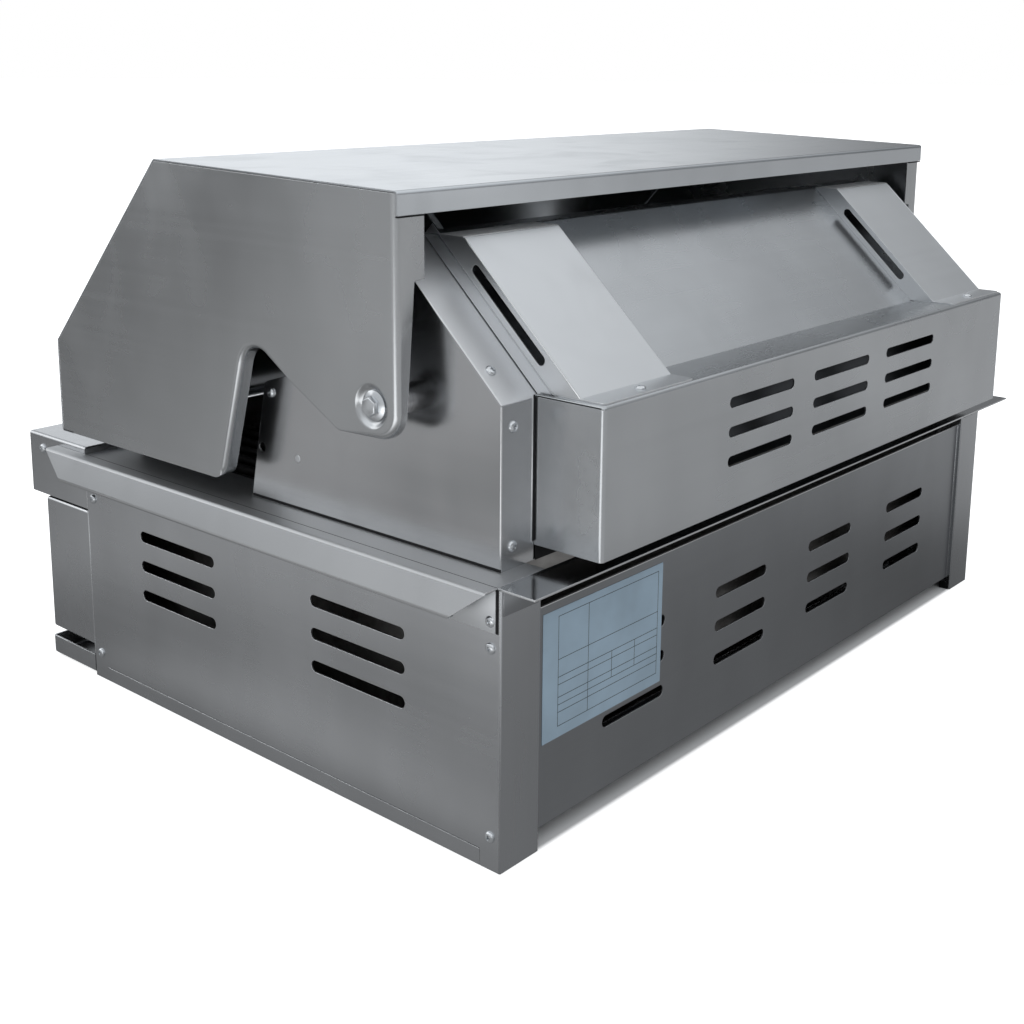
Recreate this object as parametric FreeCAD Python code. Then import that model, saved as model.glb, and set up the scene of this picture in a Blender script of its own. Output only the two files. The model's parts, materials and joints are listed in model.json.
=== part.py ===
import FreeCAD, Part
import math
import os

V = FreeCAD.Vector

# A built-in gas barbecue grill head in stainless sheet, in millimetres.
# X runs across the width, the control panel faces -Y and Z is up.
# While the pieces are made, y = 0 is the rear face of the cabinet and z = 0 is the floor.

# Sheet metal
SHEET = 1.5             # thickness of the outer sheet
BEND = 1.5              # inside radius of a bend
SEAM = 0.3              # gap between pieces that only meet
RUN_FIT = 0.05          # radial clearance of a turning or sliding fit
HOLE_FIT = 0.2          # radial clearance of a screw or pipe in its hole
EDGE_ROUND = 0.8        # outer round of a folded corner, as a share of the sheet

# Cabinet
CABINET_WIDTH = 800.0
SIDE_DEPTH = 510.0      # side panels, from front edge to the rear face
DECK_TOP = 217.0        # top of the deck and its counter flange above the floor
POST_FACE = 43.0        # width of a rear post
POST_LEG = 30.0         # leg of a post behind the side panel
POST_RETURN = 12.0      # inner return of a rear post
RAIL_HEIGHT = 13.0      # strip of the base rail that shows below the side panel
RAIL_LEDGE = 56.0       # inward reach of the base rail under the drip tray
RAIL_SETBACK = 20.0     # from the ends of the side panel to the rail
RAIL_LEG = 30.0         # height of the rail's leg behind the side panel
REAR_RECESS = 4.0       # rear panel behind the face of the posts
REAR_FOOT = 14.5        # rear panel above the floor
REAR_GAP = 28.0         # from the rear panel up to the deck

# Vent slots
SLOT_WIDTH = 10.0
SIDE_SLOT_LENGTH = 105.0
SIDE_SLOT_STEP = 27.5
SIDE_SLOT_DROP = 60.0   # centre of the top row below the deck
SIDE_SLOT_LEAD = 135.0  # centre of the front group, from the front edge of the side
SIDE_SLOT_REAR = 148.0  # centre of the rear group, from the rear face
REAR_SLOT_LENGTH = 82.0
REAR_SLOT_STEP = 30.5
REAR_SLOT_DROP = 85.0   # centre of the top row below the deck
REAR_SLOT_PITCH = 157.0
REAR_SLOT_GROUPS = 4
SLOT_ROWS = 3

# Counter flange
FLANGE_CREST = 13.0     # flat strip past the side, up to the bend
FLANGE_FLARE = 7.0      # foot of the skirt past the bend
FLANGE_DROP = 26.0      # fall of the skirt from the deck
FLANGE_HEM = 8.0        # flat hem inside the foot that rests on the counter
FLANGE_NOSE = 44.0      # past the front edge of the side panels
FLANGE_MITRE = 32.0     # length of the skirt's slanted ends
FLANGE_TAIL = 4.0       # from the rear end of the side flange to the rear face
REAR_FLANGE_REACH = 30.0

# Front
CAP_REACH = 95.0        # front of the ledge cap, past the front edge of the side
CAP_STEP = 6.0          # top of the ledge cap above the deck
CAP_HEIGHT = 59.0
PANEL_REACH = 71.0      # face of the control panel, past the front edge of the side
PANEL_SEAM = 2.0        # from the ledge cap down to the control panel
PANEL_BOTTOM = 30.0
PANEL_BEND = 3.0        # outside radius of the panel's corners

# Drip tray
TRAY_PROUD = 2.0        # tray front past the control panel
TRAY_HEIGHT = 20.0
TRAY_INSET = 48.0       # side of the pan inside the cabinet's side
TRAY_REAR = 70.0        # end of the pan, from the rear face
TRAY_LIFT = 1.8         # underside of the tray above the floor
TRAY_GAP = 1.5          # tray front off the cabinet's front edge
TRAY_WALL = 15.0        # height of the pan's walls

# Firebox
LINER_INSET = 51.5      # outer face of the liner inside the cabinet's side
LINER_FOOT = 60.0       # lower edge of the firebox above the floor
LINER_FLANGE = 16.0
BOX_SETBACK = 13.0      # outer face of the firebox front behind the front edge of the side
BOX_UPSTAND = 24.0      # firebox front above the deck, behind the hood's hem
LEDGE = 18.0            # ledges that carry grates and flame tamers
GRATE_DROP = 2.0        # top of the grates below the deck
GRATE_HEIGHT = 12.0
GRATE_COUNT = 3
GRATE_GAP = 2.0
GRATE_BAR = 8.0
GRATE_SLOT = 11.0
TAMER_DROP = 75.0       # foot of the flame tamers below the top of the grates
TAMER_RISE = 28.0
TAMER_WIDTH = 112.0

# Upper body
WALL_INSET = 24.0       # outer face of the upper wall inside the cabinet's side
WALL_REAR = 22.0        # rear flange face in front of the rear plane
WALL_KNEE = 122.0       # height of the upright rear flange above the deck
WALL_RISE = 230.0       # top of the upper wall above the deck
SLANT = 43.0            # slope of the slanted back, degrees
WALL_FLANGE = 40.0      # width of the wall's rear flange
WALL_CROWN = 14.0       # flat top of the upper wall
WALL_STEP = 240.0       # bend in the wall's upper edge, from the rear plane
WALL_STEP_RISE = 112.0  # height of that bend above the deck
WALL_LEAD = 278.0       # front corner of the upper wall, from the rear plane
WALL_LEAD_RISE = 100.0  # height of that corner above the deck
WALL_LEAD_RADIUS = 8.0
WALL_TOE = 298.0        # foot of the wall's front edge, from the rear plane
WALL_SCREW_EDGE = 12.0  # screws of the rear flange, in from the wall's face
WALL_SCREW_END = 17.0   # screws from the ends of the upright flange
SLANT_SCREW = 29.0      # screw of the slanted flange, from its foot
WALL_HOLE = 4.0         # radius of the spit motor's hole
SPIT_HOLE_INSET = 6.2   # centre of that hole behind the wall's front edge
SPIT_HOLE_RISE = 44.0
SHIELD_OFFSET = 12.0    # outer shield off the slanted flange
SHIELD_INSET = 0.5      # ends of the shield inside the round of the housing's corners
SHIELD_LAP = 4.0        # top of the shield past the wall's crown

# Rear burner housing
HOUSING_INSET = 36.0    # ends of the housing inside the upper walls
HOUSING_REACH = 40.0    # past the rear face
HOUSING_LIFT = 12.0     # lower edge of the housing above the deck
HOUSING_HEIGHT = 113.0
HOUSING_HEM = 25.0
VENT_LENGTH = 98.0
VENT_WIDTH = 8.5
VENT_STEP = 23.7
VENT_DROP = 26.0        # centre of the top row below the top of the housing
VENT_PITCH = 131.0
VENT_GROUPS = 3
COVER_WIDTH = 110.0
COVER_PROUD = 17.0      # height of a flue cover off the shield
COVER_SHEET = 1.2
COVER_TAB = 20.0
COVER_TAB_ROUND = 4.0
COVER_SLOT_LENGTH = 93.0
COVER_SLOT_WIDTH = 8.0
REAR_BURNER_INSET = 138.0  # ends of the rear burner inside the cabinet's side
REAR_BURNER_HEIGHT = 66.0
REAR_BURNER_RISE = 67.0  # centre of the rear burner above the deck
REAR_BURNER_DEPTH = 36.0
TILE_DEPTH = 12.0
BURNER_RIM = 12.0       # flange of the rear burner on the back sheet

# Hood
HOOD_OVERHANG = 7.5     # outer face of the hood past the cabinet's side
HOOD_REAR = 91.0        # rear lip in front of the rear plane
HOOD_RISE = 268.0       # rear edge of the hood's top above the deck
HOOD_CROWN = 8.0        # front edge of the top above its rear edge
HOOD_TOP_DEPTH = 282.0
HOOD_NOSE = 22.0        # hood's front past the front edge of the side
HOOD_FACE = 85.0        # height of the hood's upright front
HOOD_LIFT = 14.0        # lower edge of the hood above the ledge cap
HOOD_LIP = 17.5
HOOD_HEM = 18.0
PIVOT_Y = 120.0         # hinge bolt in front of the rear plane
PIVOT_RISE = 111.0      # hinge bolt above the deck
EAR_DROP = 24.0         # plate below the hinge bolt
EAR_RADIUS = 21.0
EAR_LEAD = 36.0         # flat under the ear, in front of the bolt
EAR_LEAD_RADIUS = 12.0
NOTCH_Y = 262.0         # apex of the notch before rounding
NOTCH_RISE = 35.5       # that apex above the hinge bolt
NOTCH_RADIUS = 15.0
NOTCH_FOOT = 296.5      # foot of the notch's front edge
NOTCH_FOOT_RADIUS = 15.0
HOOD_RETURN = 28.0      # inward depth of the plate's rear return
NOTCH_RETURN = 13.0     # inward depth of the return along the notch
EAR_RETURN = 10.0       # depth of the return where it ends at the ear
RETURN_STEP = 62.0      # from the hood's top to the step in the rear return
RETURN_CHAMFER = 8.0
RETURN_END = 2.0        # end of the rear return above the ear's round
RETURN_APEX = 4.0       # end of the notch's return behind the apex
DIMPLE_RADIUS = 17.0
DIMPLE_DEPTH = 3.5

# Hinge
BOLT_RADIUS = 4.0
BOLT_HEAD = 13.0        # across flats
BOLT_HEAD_HEIGHT = 5.3
BUSH_RADIUS = 8.0
SPACER_RADIUS = 11.0
WASHER_RADIUS = 11.5
NUT_HEIGHT = 6.5
BOLT_END = 2.0          # bolt past its nut
BUMPER_INSET = 100.0    # bumpers inside the cabinet's side
BUMPER_RADIUS = 8.0

# Handle and thermometer
HANDLE_HALF = 330.0
HANDLE_RADIUS = 13.0
HANDLE_STANDOFF = 60.0  # axis of the bar off the hood's front
HANDLE_RISE = 46.0      # axis of the bar above the hood's lower edge
HANDLE_END_ROUND = 3.0
HANDLE_POST_INSET = 65.0  # posts from the ends of the bar
HANDLE_POST_RADIUS = 9.0
HANDLE_FOOT_RADIUS = 16.0
HANDLE_FOOT = 4.0
DIAL_RADIUS = 36.0
DIAL_HEIGHT = 12.0
DIAL_RECESS = 5.0
DIAL_RIM = 4.0
DIAL_ROUND = 2.5
PROBE_RADIUS = 3.5
PROBE_LENGTH = 55.0
NEEDLE_LENGTH = 24.0
NEEDLE_HUB = 3.0
NEEDLE_HUB_HEIGHT = 2.0
NEEDLE_ROOT = 2.4       # width at the hub
NEEDLE_TIP = 0.8        # width at the tip
NEEDLE_SHEET = 0.8
NEEDLE_REST = 120.0     # degrees round from twelve o'clock, at the cold end
DIAL_PIN = 1.2
DIAL_PIN_HEIGHT = 3.5

# Gas train
BURNER_COUNT = 4
BURNER_INSET = 77.0     # axis of an outer burner inside the liner
REAR_VALVE_X = 0.0
BURNER_Z = 96.0
BURNER_RADIUS = 17.0
BURNER_WALL = 1.2
BURNER_SETBACK = 17.0   # front of the burner tube behind the firebox front
BURNER_REAR = 62.0
VENTURI_RADIUS = 11.0
VENTURI_REACH = 19.0    # mouth past the firebox front
MANIFOLD = 20.0         # square tube
MANIFOLD_ROUND = 2.0
MANIFOLD_INSET = 50.0   # ends of the manifold inside the cabinet's side
MANIFOLD_BACK = 46.0    # axis of the manifold behind the control panel's face
VALVE_WIDTH = 22.0
VALVE_BACK = 19.0       # front of the valve behind the control panel's face
VALVE_HEIGHT = 24.0
VALVE_ROUND = 3.0
VALVE_NECK = 8.0        # radius of the neck round the stem
VALVE_NECK_LENGTH = 4.0
NOZZLE_RADIUS = 4.0
NOZZLE_ENTRY = 8.0      # tip of the nozzle inside the burner's mouth
STEM_RADIUS = 4.0
STEM_ENTRY = 17.0       # rear of the stem inside the valve
STEM_TRAVEL = 3.0
STEM_END_GAP = 3.0      # bore left behind the stem at full push
KNOB_RADIUS = 24.0
KNOB_GRIP_RADIUS = 20.5
KNOB_SKIRT = 6.0
KNOB_HEIGHT = 33.0
KNOB_GAP = 7.0          # knob off the control panel
KNOB_SOCKET = 20.0      # depth of the stem in the knob
KNOB_SOCKET_GAP = 1.0   # from the stem's tip to the end of its socket
KNOB_SLOPE = 2.0        # height of the slope from skirt to grip
KNOB_DRAFT = 1.0        # taper of the grip
KNOB_ROUND = 1.8
GROOVE_WIDTH = 1.6      # pointer groove across the knob's end
GROOVE_DEPTH = 0.8
GROOVE_START = 7.2      # from the knob's axis
BEZEL_RADIUS = 34.0
BEZEL_BORE = 26.0
BEZEL_HEIGHT = 5.0
BEZEL_ROUND = 2.0
PANEL_HOLE = 9.0        # radius of the stem's hole in the panel
INLET_RADIUS = 10.48    # half inch pipe thread, outside
INLET_THREAD = 18.0
INLET_NECK = 9.4        # radius of the pipe where it passes the side panel
INLET_SHOULDER = 1.0    # from the side panel to the start of the thread
INLET_BORE = 7.5
INLET_LUG = 3.0         # elbow body past the pipe's own body
INLET_BACK = 40.0       # axis of the inlet behind the front edge of the side
INLET_BODY = 9.0
INLET_INSET = 26.0      # pipe run inside the cabinet's side

# Light switch
SWITCH_INSET = 11.0     # middle of the switch inside the cabinet's side
SWITCH_Z = 100.0
SWITCH_WIDTH = 15.0
SWITCH_HEIGHT = 21.0
SWITCH_RIM = 1.5
SWITCH_BEZEL = 1.6
SWITCH_DEPTH = 16.0
SWITCH_WALL = 1.0       # side walls round the rocker's well
SWITCH_END_WALL = 0.6   # walls above and below the well
SWITCH_FLOOR_GAP = 2.0  # free depth behind the rocker's drum
ROCKER_RADIUS = 7.0
ROCKER_TILT = 10.0
ROCKER_PROUD = 4.5
ROCKER_KEY = 0.96       # height of the key as a share of its drum
ROCKER_DISH = 0.4       # hollow across the middle of the key
ROCKER_AXIS = 1.0       # rocker's axis behind the panel's face

# Warming rack
RACK_FRONT = 236.0      # axis of the front rod, from the rear plane
RACK_REAR = 136.0
RACK_RISE = 84.0        # axis of the rack's long rods above the deck
RACK_ROD = 4.0
RACK_WIRE = 2.5
RACK_WIRES = 21
RACK_SEAT = 0.4         # wire above the rod's top, as a share of its radius
RACK_LEDGE = 10.0
RACK_BRACKET = 14.0

# Screws
SCREW_RADIUS = 2.0
SCREW_HEAD = 3.9
SCREW_HEAD_HEIGHT = 2.2
SCREW_LENGTH = 5.0
SCREW_DOME = 0.6        # round of the head as a share of its height
SCREW_EDGE = 10.0       # screw row in from the rear edge of a side panel
SIDE_SCREW_FOOT = 26.0  # lowest rear screw above the floor
SIDE_SCREW_DROP = 26.0  # highest rear screw below the deck
SIDE_SCREW_STEP = 20.0  # from the highest rear screw to the next
FRONT_SCREW_FOOT = 25.0
FRONT_SCREW_DROP = 41.0
CAP_SCREW_BACK = 24.0
CAP_SCREW_DROP = 14.0

# Cutters
OVERCUT = 1.0           # a cutter past the face that it enters
HOLE_CUT = 4.0          # a hole's cutter to each side of its sheet
NEAR = 1e-3             # two places this close are one place

# Places across the width
half = CABINET_WIDTH / 2
wall_out = half - WALL_INSET
wall_in = wall_out - SHEET
liner_out = half - LINER_INSET
liner_in = liner_out - SHEET
hood_half = half + HOOD_OVERHANG
housing_half = wall_out - HOUSING_INSET
shield_half = housing_half - SHEET - BEND - SHIELD_INSET
tray_half = half - TRAY_INSET
rear_burner_half = half - REAR_BURNER_INSET
manifold_half = half - MANIFOLD_INSET
bumper_x = half - BUMPER_INSET
switch_x = half - SWITCH_INSET
handle_post_x = HANDLE_HALF - HANDLE_POST_INSET
burner_span = liner_in - BURNER_INSET
burner_x = [burner_span * (2 * k / (BURNER_COUNT - 1) - 1) for k in range(BURNER_COUNT)]
valve_x = sorted(burner_x + [REAR_VALVE_X])

# Places in depth, in front of the rear face
side_slot_front = SIDE_DEPTH - SIDE_SLOT_LEAD
cap_front = SIDE_DEPTH + CAP_REACH
panel_front = SIDE_DEPTH + PANEL_REACH
tray_front = panel_front + TRAY_PROUD
box_front = SIDE_DEPTH - BOX_SETBACK
hood_front = SIDE_DEPTH + HOOD_NOSE
burner_front = box_front - BURNER_SETBACK
venturi_mouth = box_front + VENTURI_REACH
nozzle_tip = venturi_mouth - NOZZLE_ENTRY
manifold_y = panel_front - MANIFOLD_BACK
valve_front = panel_front - VALVE_BACK
stem_rear = valve_front - STEM_ENTRY
inlet_y = SIDE_DEPTH - INLET_BACK
back_face = -WALL_REAR - SHEET
knob_face = -panel_front - KNOB_GAP
knob_tip = knob_face - KNOB_HEIGHT
origin_y = (knob_tip + HOUSING_REACH) / 2
wall_lean = (WALL_TOE - WALL_LEAD) * SPIT_HOLE_RISE / WALL_LEAD_RISE
spit_hole_y = WALL_TOE - wall_lean - SPIT_HOLE_INSET

# Heights
deck_under = DECK_TOP - SHEET
side_slot_top = DECK_TOP - SIDE_SLOT_DROP
rear_slot_top = DECK_TOP - REAR_SLOT_DROP
side_screw_top = DECK_TOP - SIDE_SCREW_DROP
side_screw_z = (SIDE_SCREW_FOOT, side_screw_top - SIDE_SCREW_STEP, side_screw_top)
front_screw_z = (FRONT_SCREW_FOOT, DECK_TOP - FRONT_SCREW_DROP)
cap_top = DECK_TOP + CAP_STEP
panel_top = cap_top - CAP_HEIGHT - PANEL_SEAM
grate_top = DECK_TOP - GRATE_DROP
tamer_foot = grate_top - TAMER_DROP
knee_z = DECK_TOP + WALL_KNEE
wall_top = DECK_TOP + WALL_RISE
housing_low = DECK_TOP + HOUSING_LIFT
housing_top = housing_low + HOUSING_HEIGHT
vent_top = housing_top - VENT_DROP
rear_burner_z = DECK_TOP + REAR_BURNER_RISE
hood_top_rear = DECK_TOP + HOOD_RISE
hood_top_front = hood_top_rear + HOOD_CROWN
hood_bottom = cap_top + HOOD_LIFT
hood_break = hood_bottom + HOOD_FACE
pivot_z = DECK_TOP + PIVOT_RISE
notch_z = pivot_z + NOTCH_RISE
handle_z = hood_bottom + HANDLE_RISE

# Slopes
slant = math.radians(SLANT)
slope_angle = math.atan2(hood_top_front - hood_break, hood_front - HOOD_REAR - HOOD_TOP_DEPTH)
nodes = {}


# Shape helpers
def box(x0, x1, y0, y1, z0, z1):
    return Part.makeBox(x1 - x0, y1 - y0, z1 - z0, V(x0, y0, z0))


def rod_x(radius, x0, x1, y, z):
    return Part.makeCylinder(radius, x1 - x0, V(x0, y, z), V(1, 0, 0))


def rod_y(radius, y0, y1, x, z):
    return Part.makeCylinder(radius, y1 - y0, V(x, y0, z), V(0, 1, 0))


def rod_z(radius, z0, z1, x, y):
    return Part.makeCylinder(radius, z1 - z0, V(x, y, z0), V(0, 0, 1))


def mirrored(shape):
    return shape.mirror(V(0, 0, 0), V(1, 0, 0))


def rounded_wire(corners):
    """Close a wire through (point, radius) corners, with an arc at each corner that has a radius."""
    spans = []
    for i, (corner, radius) in enumerate(corners):
        before = (corners[i - 1][0] - corner).normalize()
        after = (corners[(i + 1) % len(corners)][0] - corner).normalize()
        if radius <= 0:
            spans.append((corner, None, corner))
            continue
        half_turn = before.getAngle(after) / 2
        run = radius / math.tan(half_turn)
        middle = (before + after).normalize()
        tip = corner + middle * (radius / math.sin(half_turn) - radius)
        spans.append((corner + before * run, tip, corner + after * run))
    edges = []
    for i, (start, tip, end) in enumerate(spans):
        if tip is not None:
            edges.append(Part.Arc(start, tip, end).toShape())
        following = spans[(i + 1) % len(spans)][0]
        if end.distanceToPoint(following) > NEAR:
            edges.append(Part.LineSegment(end, following).toShape())
    return Part.Wire(edges)


def profile_x(corners, x0, x1):
    """Extrude a (y, z) or (y, z, radius) outline along X."""
    points = [(V(x0, y, z), sum(radius)) for y, z, *radius in corners]
    return Part.Face(rounded_wire(points)).extrude(V(x1 - x0, 0, 0))


def profile_y(corners, y0, y1):
    """Extrude an (x, z) or (x, z, radius) outline along Y."""
    points = [(V(x, y0, z), sum(radius)) for x, z, *radius in corners]
    return Part.Face(rounded_wire(points)).extrude(V(0, y1 - y0, 0))


def profile_z(corners, z0, z1):
    """Extrude an (x, y) or (x, y, radius) outline along Z."""
    points = [(V(x, y, z0), sum(radius)) for x, y, *radius in corners]
    return Part.Face(rounded_wire(points)).extrude(V(0, 0, z1 - z0))


def offset_line(points, distance):
    """Move an open polyline to its left by a distance."""
    lines = []
    for (a, b), (c, d) in zip(points, points[1:]):
        length = math.hypot(c - a, d - b)
        lines.append((a, b, (c - a) / length, (d - b) / length))
    moved = []
    for i, (a, b) in enumerate(points):
        ends = [lines[max(i - 1, 0)], lines[min(i, len(lines) - 1)]]
        (_, _, ux, uz), (_, _, wx, wz) = ends
        scale = distance / (1 + ux * wx + uz * wz)
        moved.append((a - (uz + wz) * scale, b + (ux + wx) * scale))
    return moved


def bent_outline(points, thickness):
    """Give the outline of a bent sheet whose thickness lies to the left of its face line."""
    inner = offset_line(points, thickness)
    face, back = [], []
    for i, (point, other) in enumerate(zip(points, inner)):
        outside = inside = 0
        if 0 < i < len(points) - 1:
            (a, b), (c, d), (e, f) = points[i - 1], point, points[i + 1]
            left = (c - a) * (f - d) - (d - b) * (e - c) > 0
            outside = BEND + (thickness if left else 0)
            inside = BEND + (0 if left else thickness)
        face.append((point[0], point[1], outside))
        back.append((other[0], other[1], inside))
    return face + back[::-1]


def bent_sheet(points, thickness, x0, x1):
    """Bend a sheet along a (y, z) face line and run it along X."""
    return profile_x(bent_outline(points, thickness), x0, x1)


def shell_box(low, high, thickness, open_sides, radius):
    """Fold a box out of sheet, with rounded bends and the named sides left open."""
    def block(inset):
        corners = []
        for side, (a, b) in enumerate(zip(low, high)):
            axis = "xyz"[side]
            start = a - OVERCUT if inset and "-" + axis in open_sides else a + inset
            end = b + OVERCUT if inset and "+" + axis in open_sides else b - inset
            corners.append((start, end))
        (x0, x1), (y0, y1), (z0, z1) = corners
        solid = box(x0, x1, y0, y1, z0, z1)
        bends = []
        for edge in solid.Edges:
            middle = edge.BoundBox.Center
            sides = []
            for axis, (a, b), place in zip("xyz", corners, middle):
                sides += ["-" + axis] if abs(place - a) < NEAR else []
                sides += ["+" + axis] if abs(place - b) < NEAR else []
            if not any(side in open_sides for side in sides):
                bends.append(edge)
        return solid.makeFillet(radius - inset, bends)
    return block(0).cut(block(thickness))


def slot(length, width, depth):
    """Make a round-ended cutter along local X, centred, running along local Z."""
    reach = (length - width) / 2
    bar = box(-reach, reach, -width / 2, width / 2, -depth / 2, depth / 2)
    ends = [rod_z(width / 2, -depth / 2, depth / 2, x, 0) for x in (-reach, reach)]
    return bar.fuse(ends).removeSplitter()


def turned(shape, axis, degrees):
    return shape.rotated(V(0, 0, 0), axis, degrees)


def moved(shape, x, y, z):
    return shape.translated(V(x, y, z))


def screw_hole(place, axis):
    """Make a cutter for a screw's hole through the sheets at a place, deeper than the screw."""
    reach = SCREW_LENGTH + OVERCUT
    return Part.makeCylinder(SCREW_RADIUS + HOLE_FIT, 2 * reach, place - axis * reach, axis)


def keep(name, *shapes):
    """Store one node: a single solid, or a group of like solids."""
    solids = [solid for shape in shapes for solid in shape.Solids]
    nodes[name] = solids[0] if len(solids) == 1 else Part.makeCompound(solids)


# Lines of the slanted back
slant_dir = V(0, -math.cos(slant), math.sin(slant))
slant_out = V(0, math.sin(slant), math.cos(slant))


def slant_y(z, off):
    """Give y at a height on the plane that lies off the wall's slanted flange."""
    return -WALL_REAR - (z - knee_z) / math.tan(slant) + off / math.sin(slant)


# Cabinet
def cabinet():
    slit = 2 * SEAM
    rail_front = -SIDE_DEPTH + RAIL_SETBACK
    rail_back = -RAIL_SETBACK
    side = box(half - SHEET, half, -SIDE_DEPTH, -SHEET, 0, deck_under)
    strip = box(half - 2 * SHEET, half + OVERCUT, rail_front - SEAM, rail_back + SEAM,
                -OVERCUT, RAIL_HEIGHT + slit)
    side = side.cut(strip)
    vent = turned(turned(slot(SIDE_SLOT_LENGTH, SLOT_WIDTH, 4 * SHEET), V(0, 0, 1), 90), V(0, 1, 0), 90)
    for y in (-side_slot_front, -SIDE_SLOT_REAR):
        for row in range(SLOT_ROWS):
            side = side.cut(moved(vent, half, y, side_slot_top - row * SIDE_SLOT_STEP))
    rear_holes = [screw_hole(V(half, -SCREW_EDGE, z), V(1, 0, 0)) for z in side_screw_z]
    front_holes = [screw_hole(V(half, -SIDE_DEPTH + SCREW_EDGE, z), V(1, 0, 0)) for z in front_screw_z]
    side = side.cut(rear_holes + front_holes)
    keep("side_panel_right", side)
    inlet = rod_x(INLET_RADIUS + HOLE_FIT, -half - OVERCUT, -half + 2 * SHEET, -inlet_y, manifold_z())
    keep("side_panel_left", mirrored(side).cut(inlet))

    post_in = half - 2 * SHEET
    rail = box(half - SHEET - RAIL_LEDGE, half - SHEET, rail_front, -POST_LEG - SEAM, 0, SHEET)
    rail = rail.fuse(box(post_in, half - SHEET, rail_front + POST_LEG, -POST_LEG - SEAM, 0, RAIL_LEG))
    rail = rail.fuse(box(half - SHEET, half, rail_front, rail_back, 0, RAIL_HEIGHT)).removeSplitter()
    keep("base_rails", rail, mirrored(rail))

    post = box(half - POST_FACE, half, -SHEET, 0, 0, deck_under)
    post = post.fuse(box(post_in, half - SHEET, -POST_LEG, -SHEET, RAIL_HEIGHT + slit, deck_under))
    post = post.fuse(box(half - POST_FACE, half - POST_FACE + SHEET, -POST_RETURN, -SHEET, 0, deck_under))
    post = post.removeSplitter()
    bends = [e for e in post.Edges if on_upright(e, half, 0) or on_upright(e, half - POST_FACE, 0)]
    post = post.makeFillet(EDGE_ROUND * SHEET, bends).cut(rear_holes)
    keep("rear_post_right", post)
    keep("rear_post_left", mirrored(post))

    front = box(post_in, half - SHEET, -SIDE_DEPTH, -SIDE_DEPTH + POST_LEG - SEAM, SHEET, deck_under)
    front = front.fuse(box(half - POST_RETURN, post_in, -SIDE_DEPTH, -SIDE_DEPTH + SHEET, SHEET, deck_under))
    front = front.removeSplitter().cut(front_holes)
    keep("front_posts", front, mirrored(front))

    panel_half = half - POST_FACE - SEAM
    panel = box(-panel_half, panel_half, -REAR_RECESS - SHEET, -REAR_RECESS, REAR_FOOT, DECK_TOP - REAR_GAP)
    vent = turned(slot(REAR_SLOT_LENGTH, SLOT_WIDTH, 4 * SHEET), V(1, 0, 0), 90)
    for group in range(REAR_SLOT_GROUPS):
        x = (group - (REAR_SLOT_GROUPS - 1) / 2) * REAR_SLOT_PITCH
        for row in range(SLOT_ROWS):
            panel = panel.cut(moved(vent, x, -REAR_RECESS, rear_slot_top - row * REAR_SLOT_STEP))
    keep("rear_panel", panel)


def manifold_z():
    """Give the height of the manifold's axis, under the valves."""
    return BURNER_Z - VALVE_HEIGHT / 2 - MANIFOLD / 2


def on_upright(edge, x, y):
    """Tell whether an edge is the upright line at x, y."""
    bounds = edge.BoundBox
    return bounds.ZLength > NEAR and abs(bounds.Center.x - x) < NEAR and abs(bounds.Center.y - y) < NEAR


# Counter flange
def flanges():
    inner = liner_out
    crest = half + FLANGE_CREST
    edge = crest + FLANGE_FLARE
    foot = DECK_TOP - FLANGE_DROP
    nose, tail = -SIDE_DEPTH - FLANGE_NOSE, -FLANGE_TAIL
    line = [(edge - FLANGE_HEM, foot), (edge, foot), (crest, DECK_TOP), (inner, DECK_TOP)]
    strip = profile_y(bent_outline(line, SHEET), nose, tail)
    below = foot - OVERCUT
    for end, run, past in ((nose, FLANGE_MITRE, -OVERCUT), (tail, -FLANGE_MITRE, OVERCUT)):
        corner = [(end, deck_under), (end + run, foot), (end + run, below), (end + past, below),
                  (end + past, deck_under)]
        strip = strip.cut(profile_x(corner, half, edge + OVERCUT))
    ledge = box(inner - OVERCUT, half + SEAM, nose - OVERCUT, -SIDE_DEPTH - SEAM, deck_under - OVERCUT,
                DECK_TOP + OVERCUT)
    strip = strip.cut(ledge)
    keep("counter_flange_right", strip)
    keep("counter_flange_left", mirrored(strip))
    plate = box(-half, half, tail + SEAM, REAR_FLANGE_REACH, deck_under, DECK_TOP)
    keep("rear_flange", plate)


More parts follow.
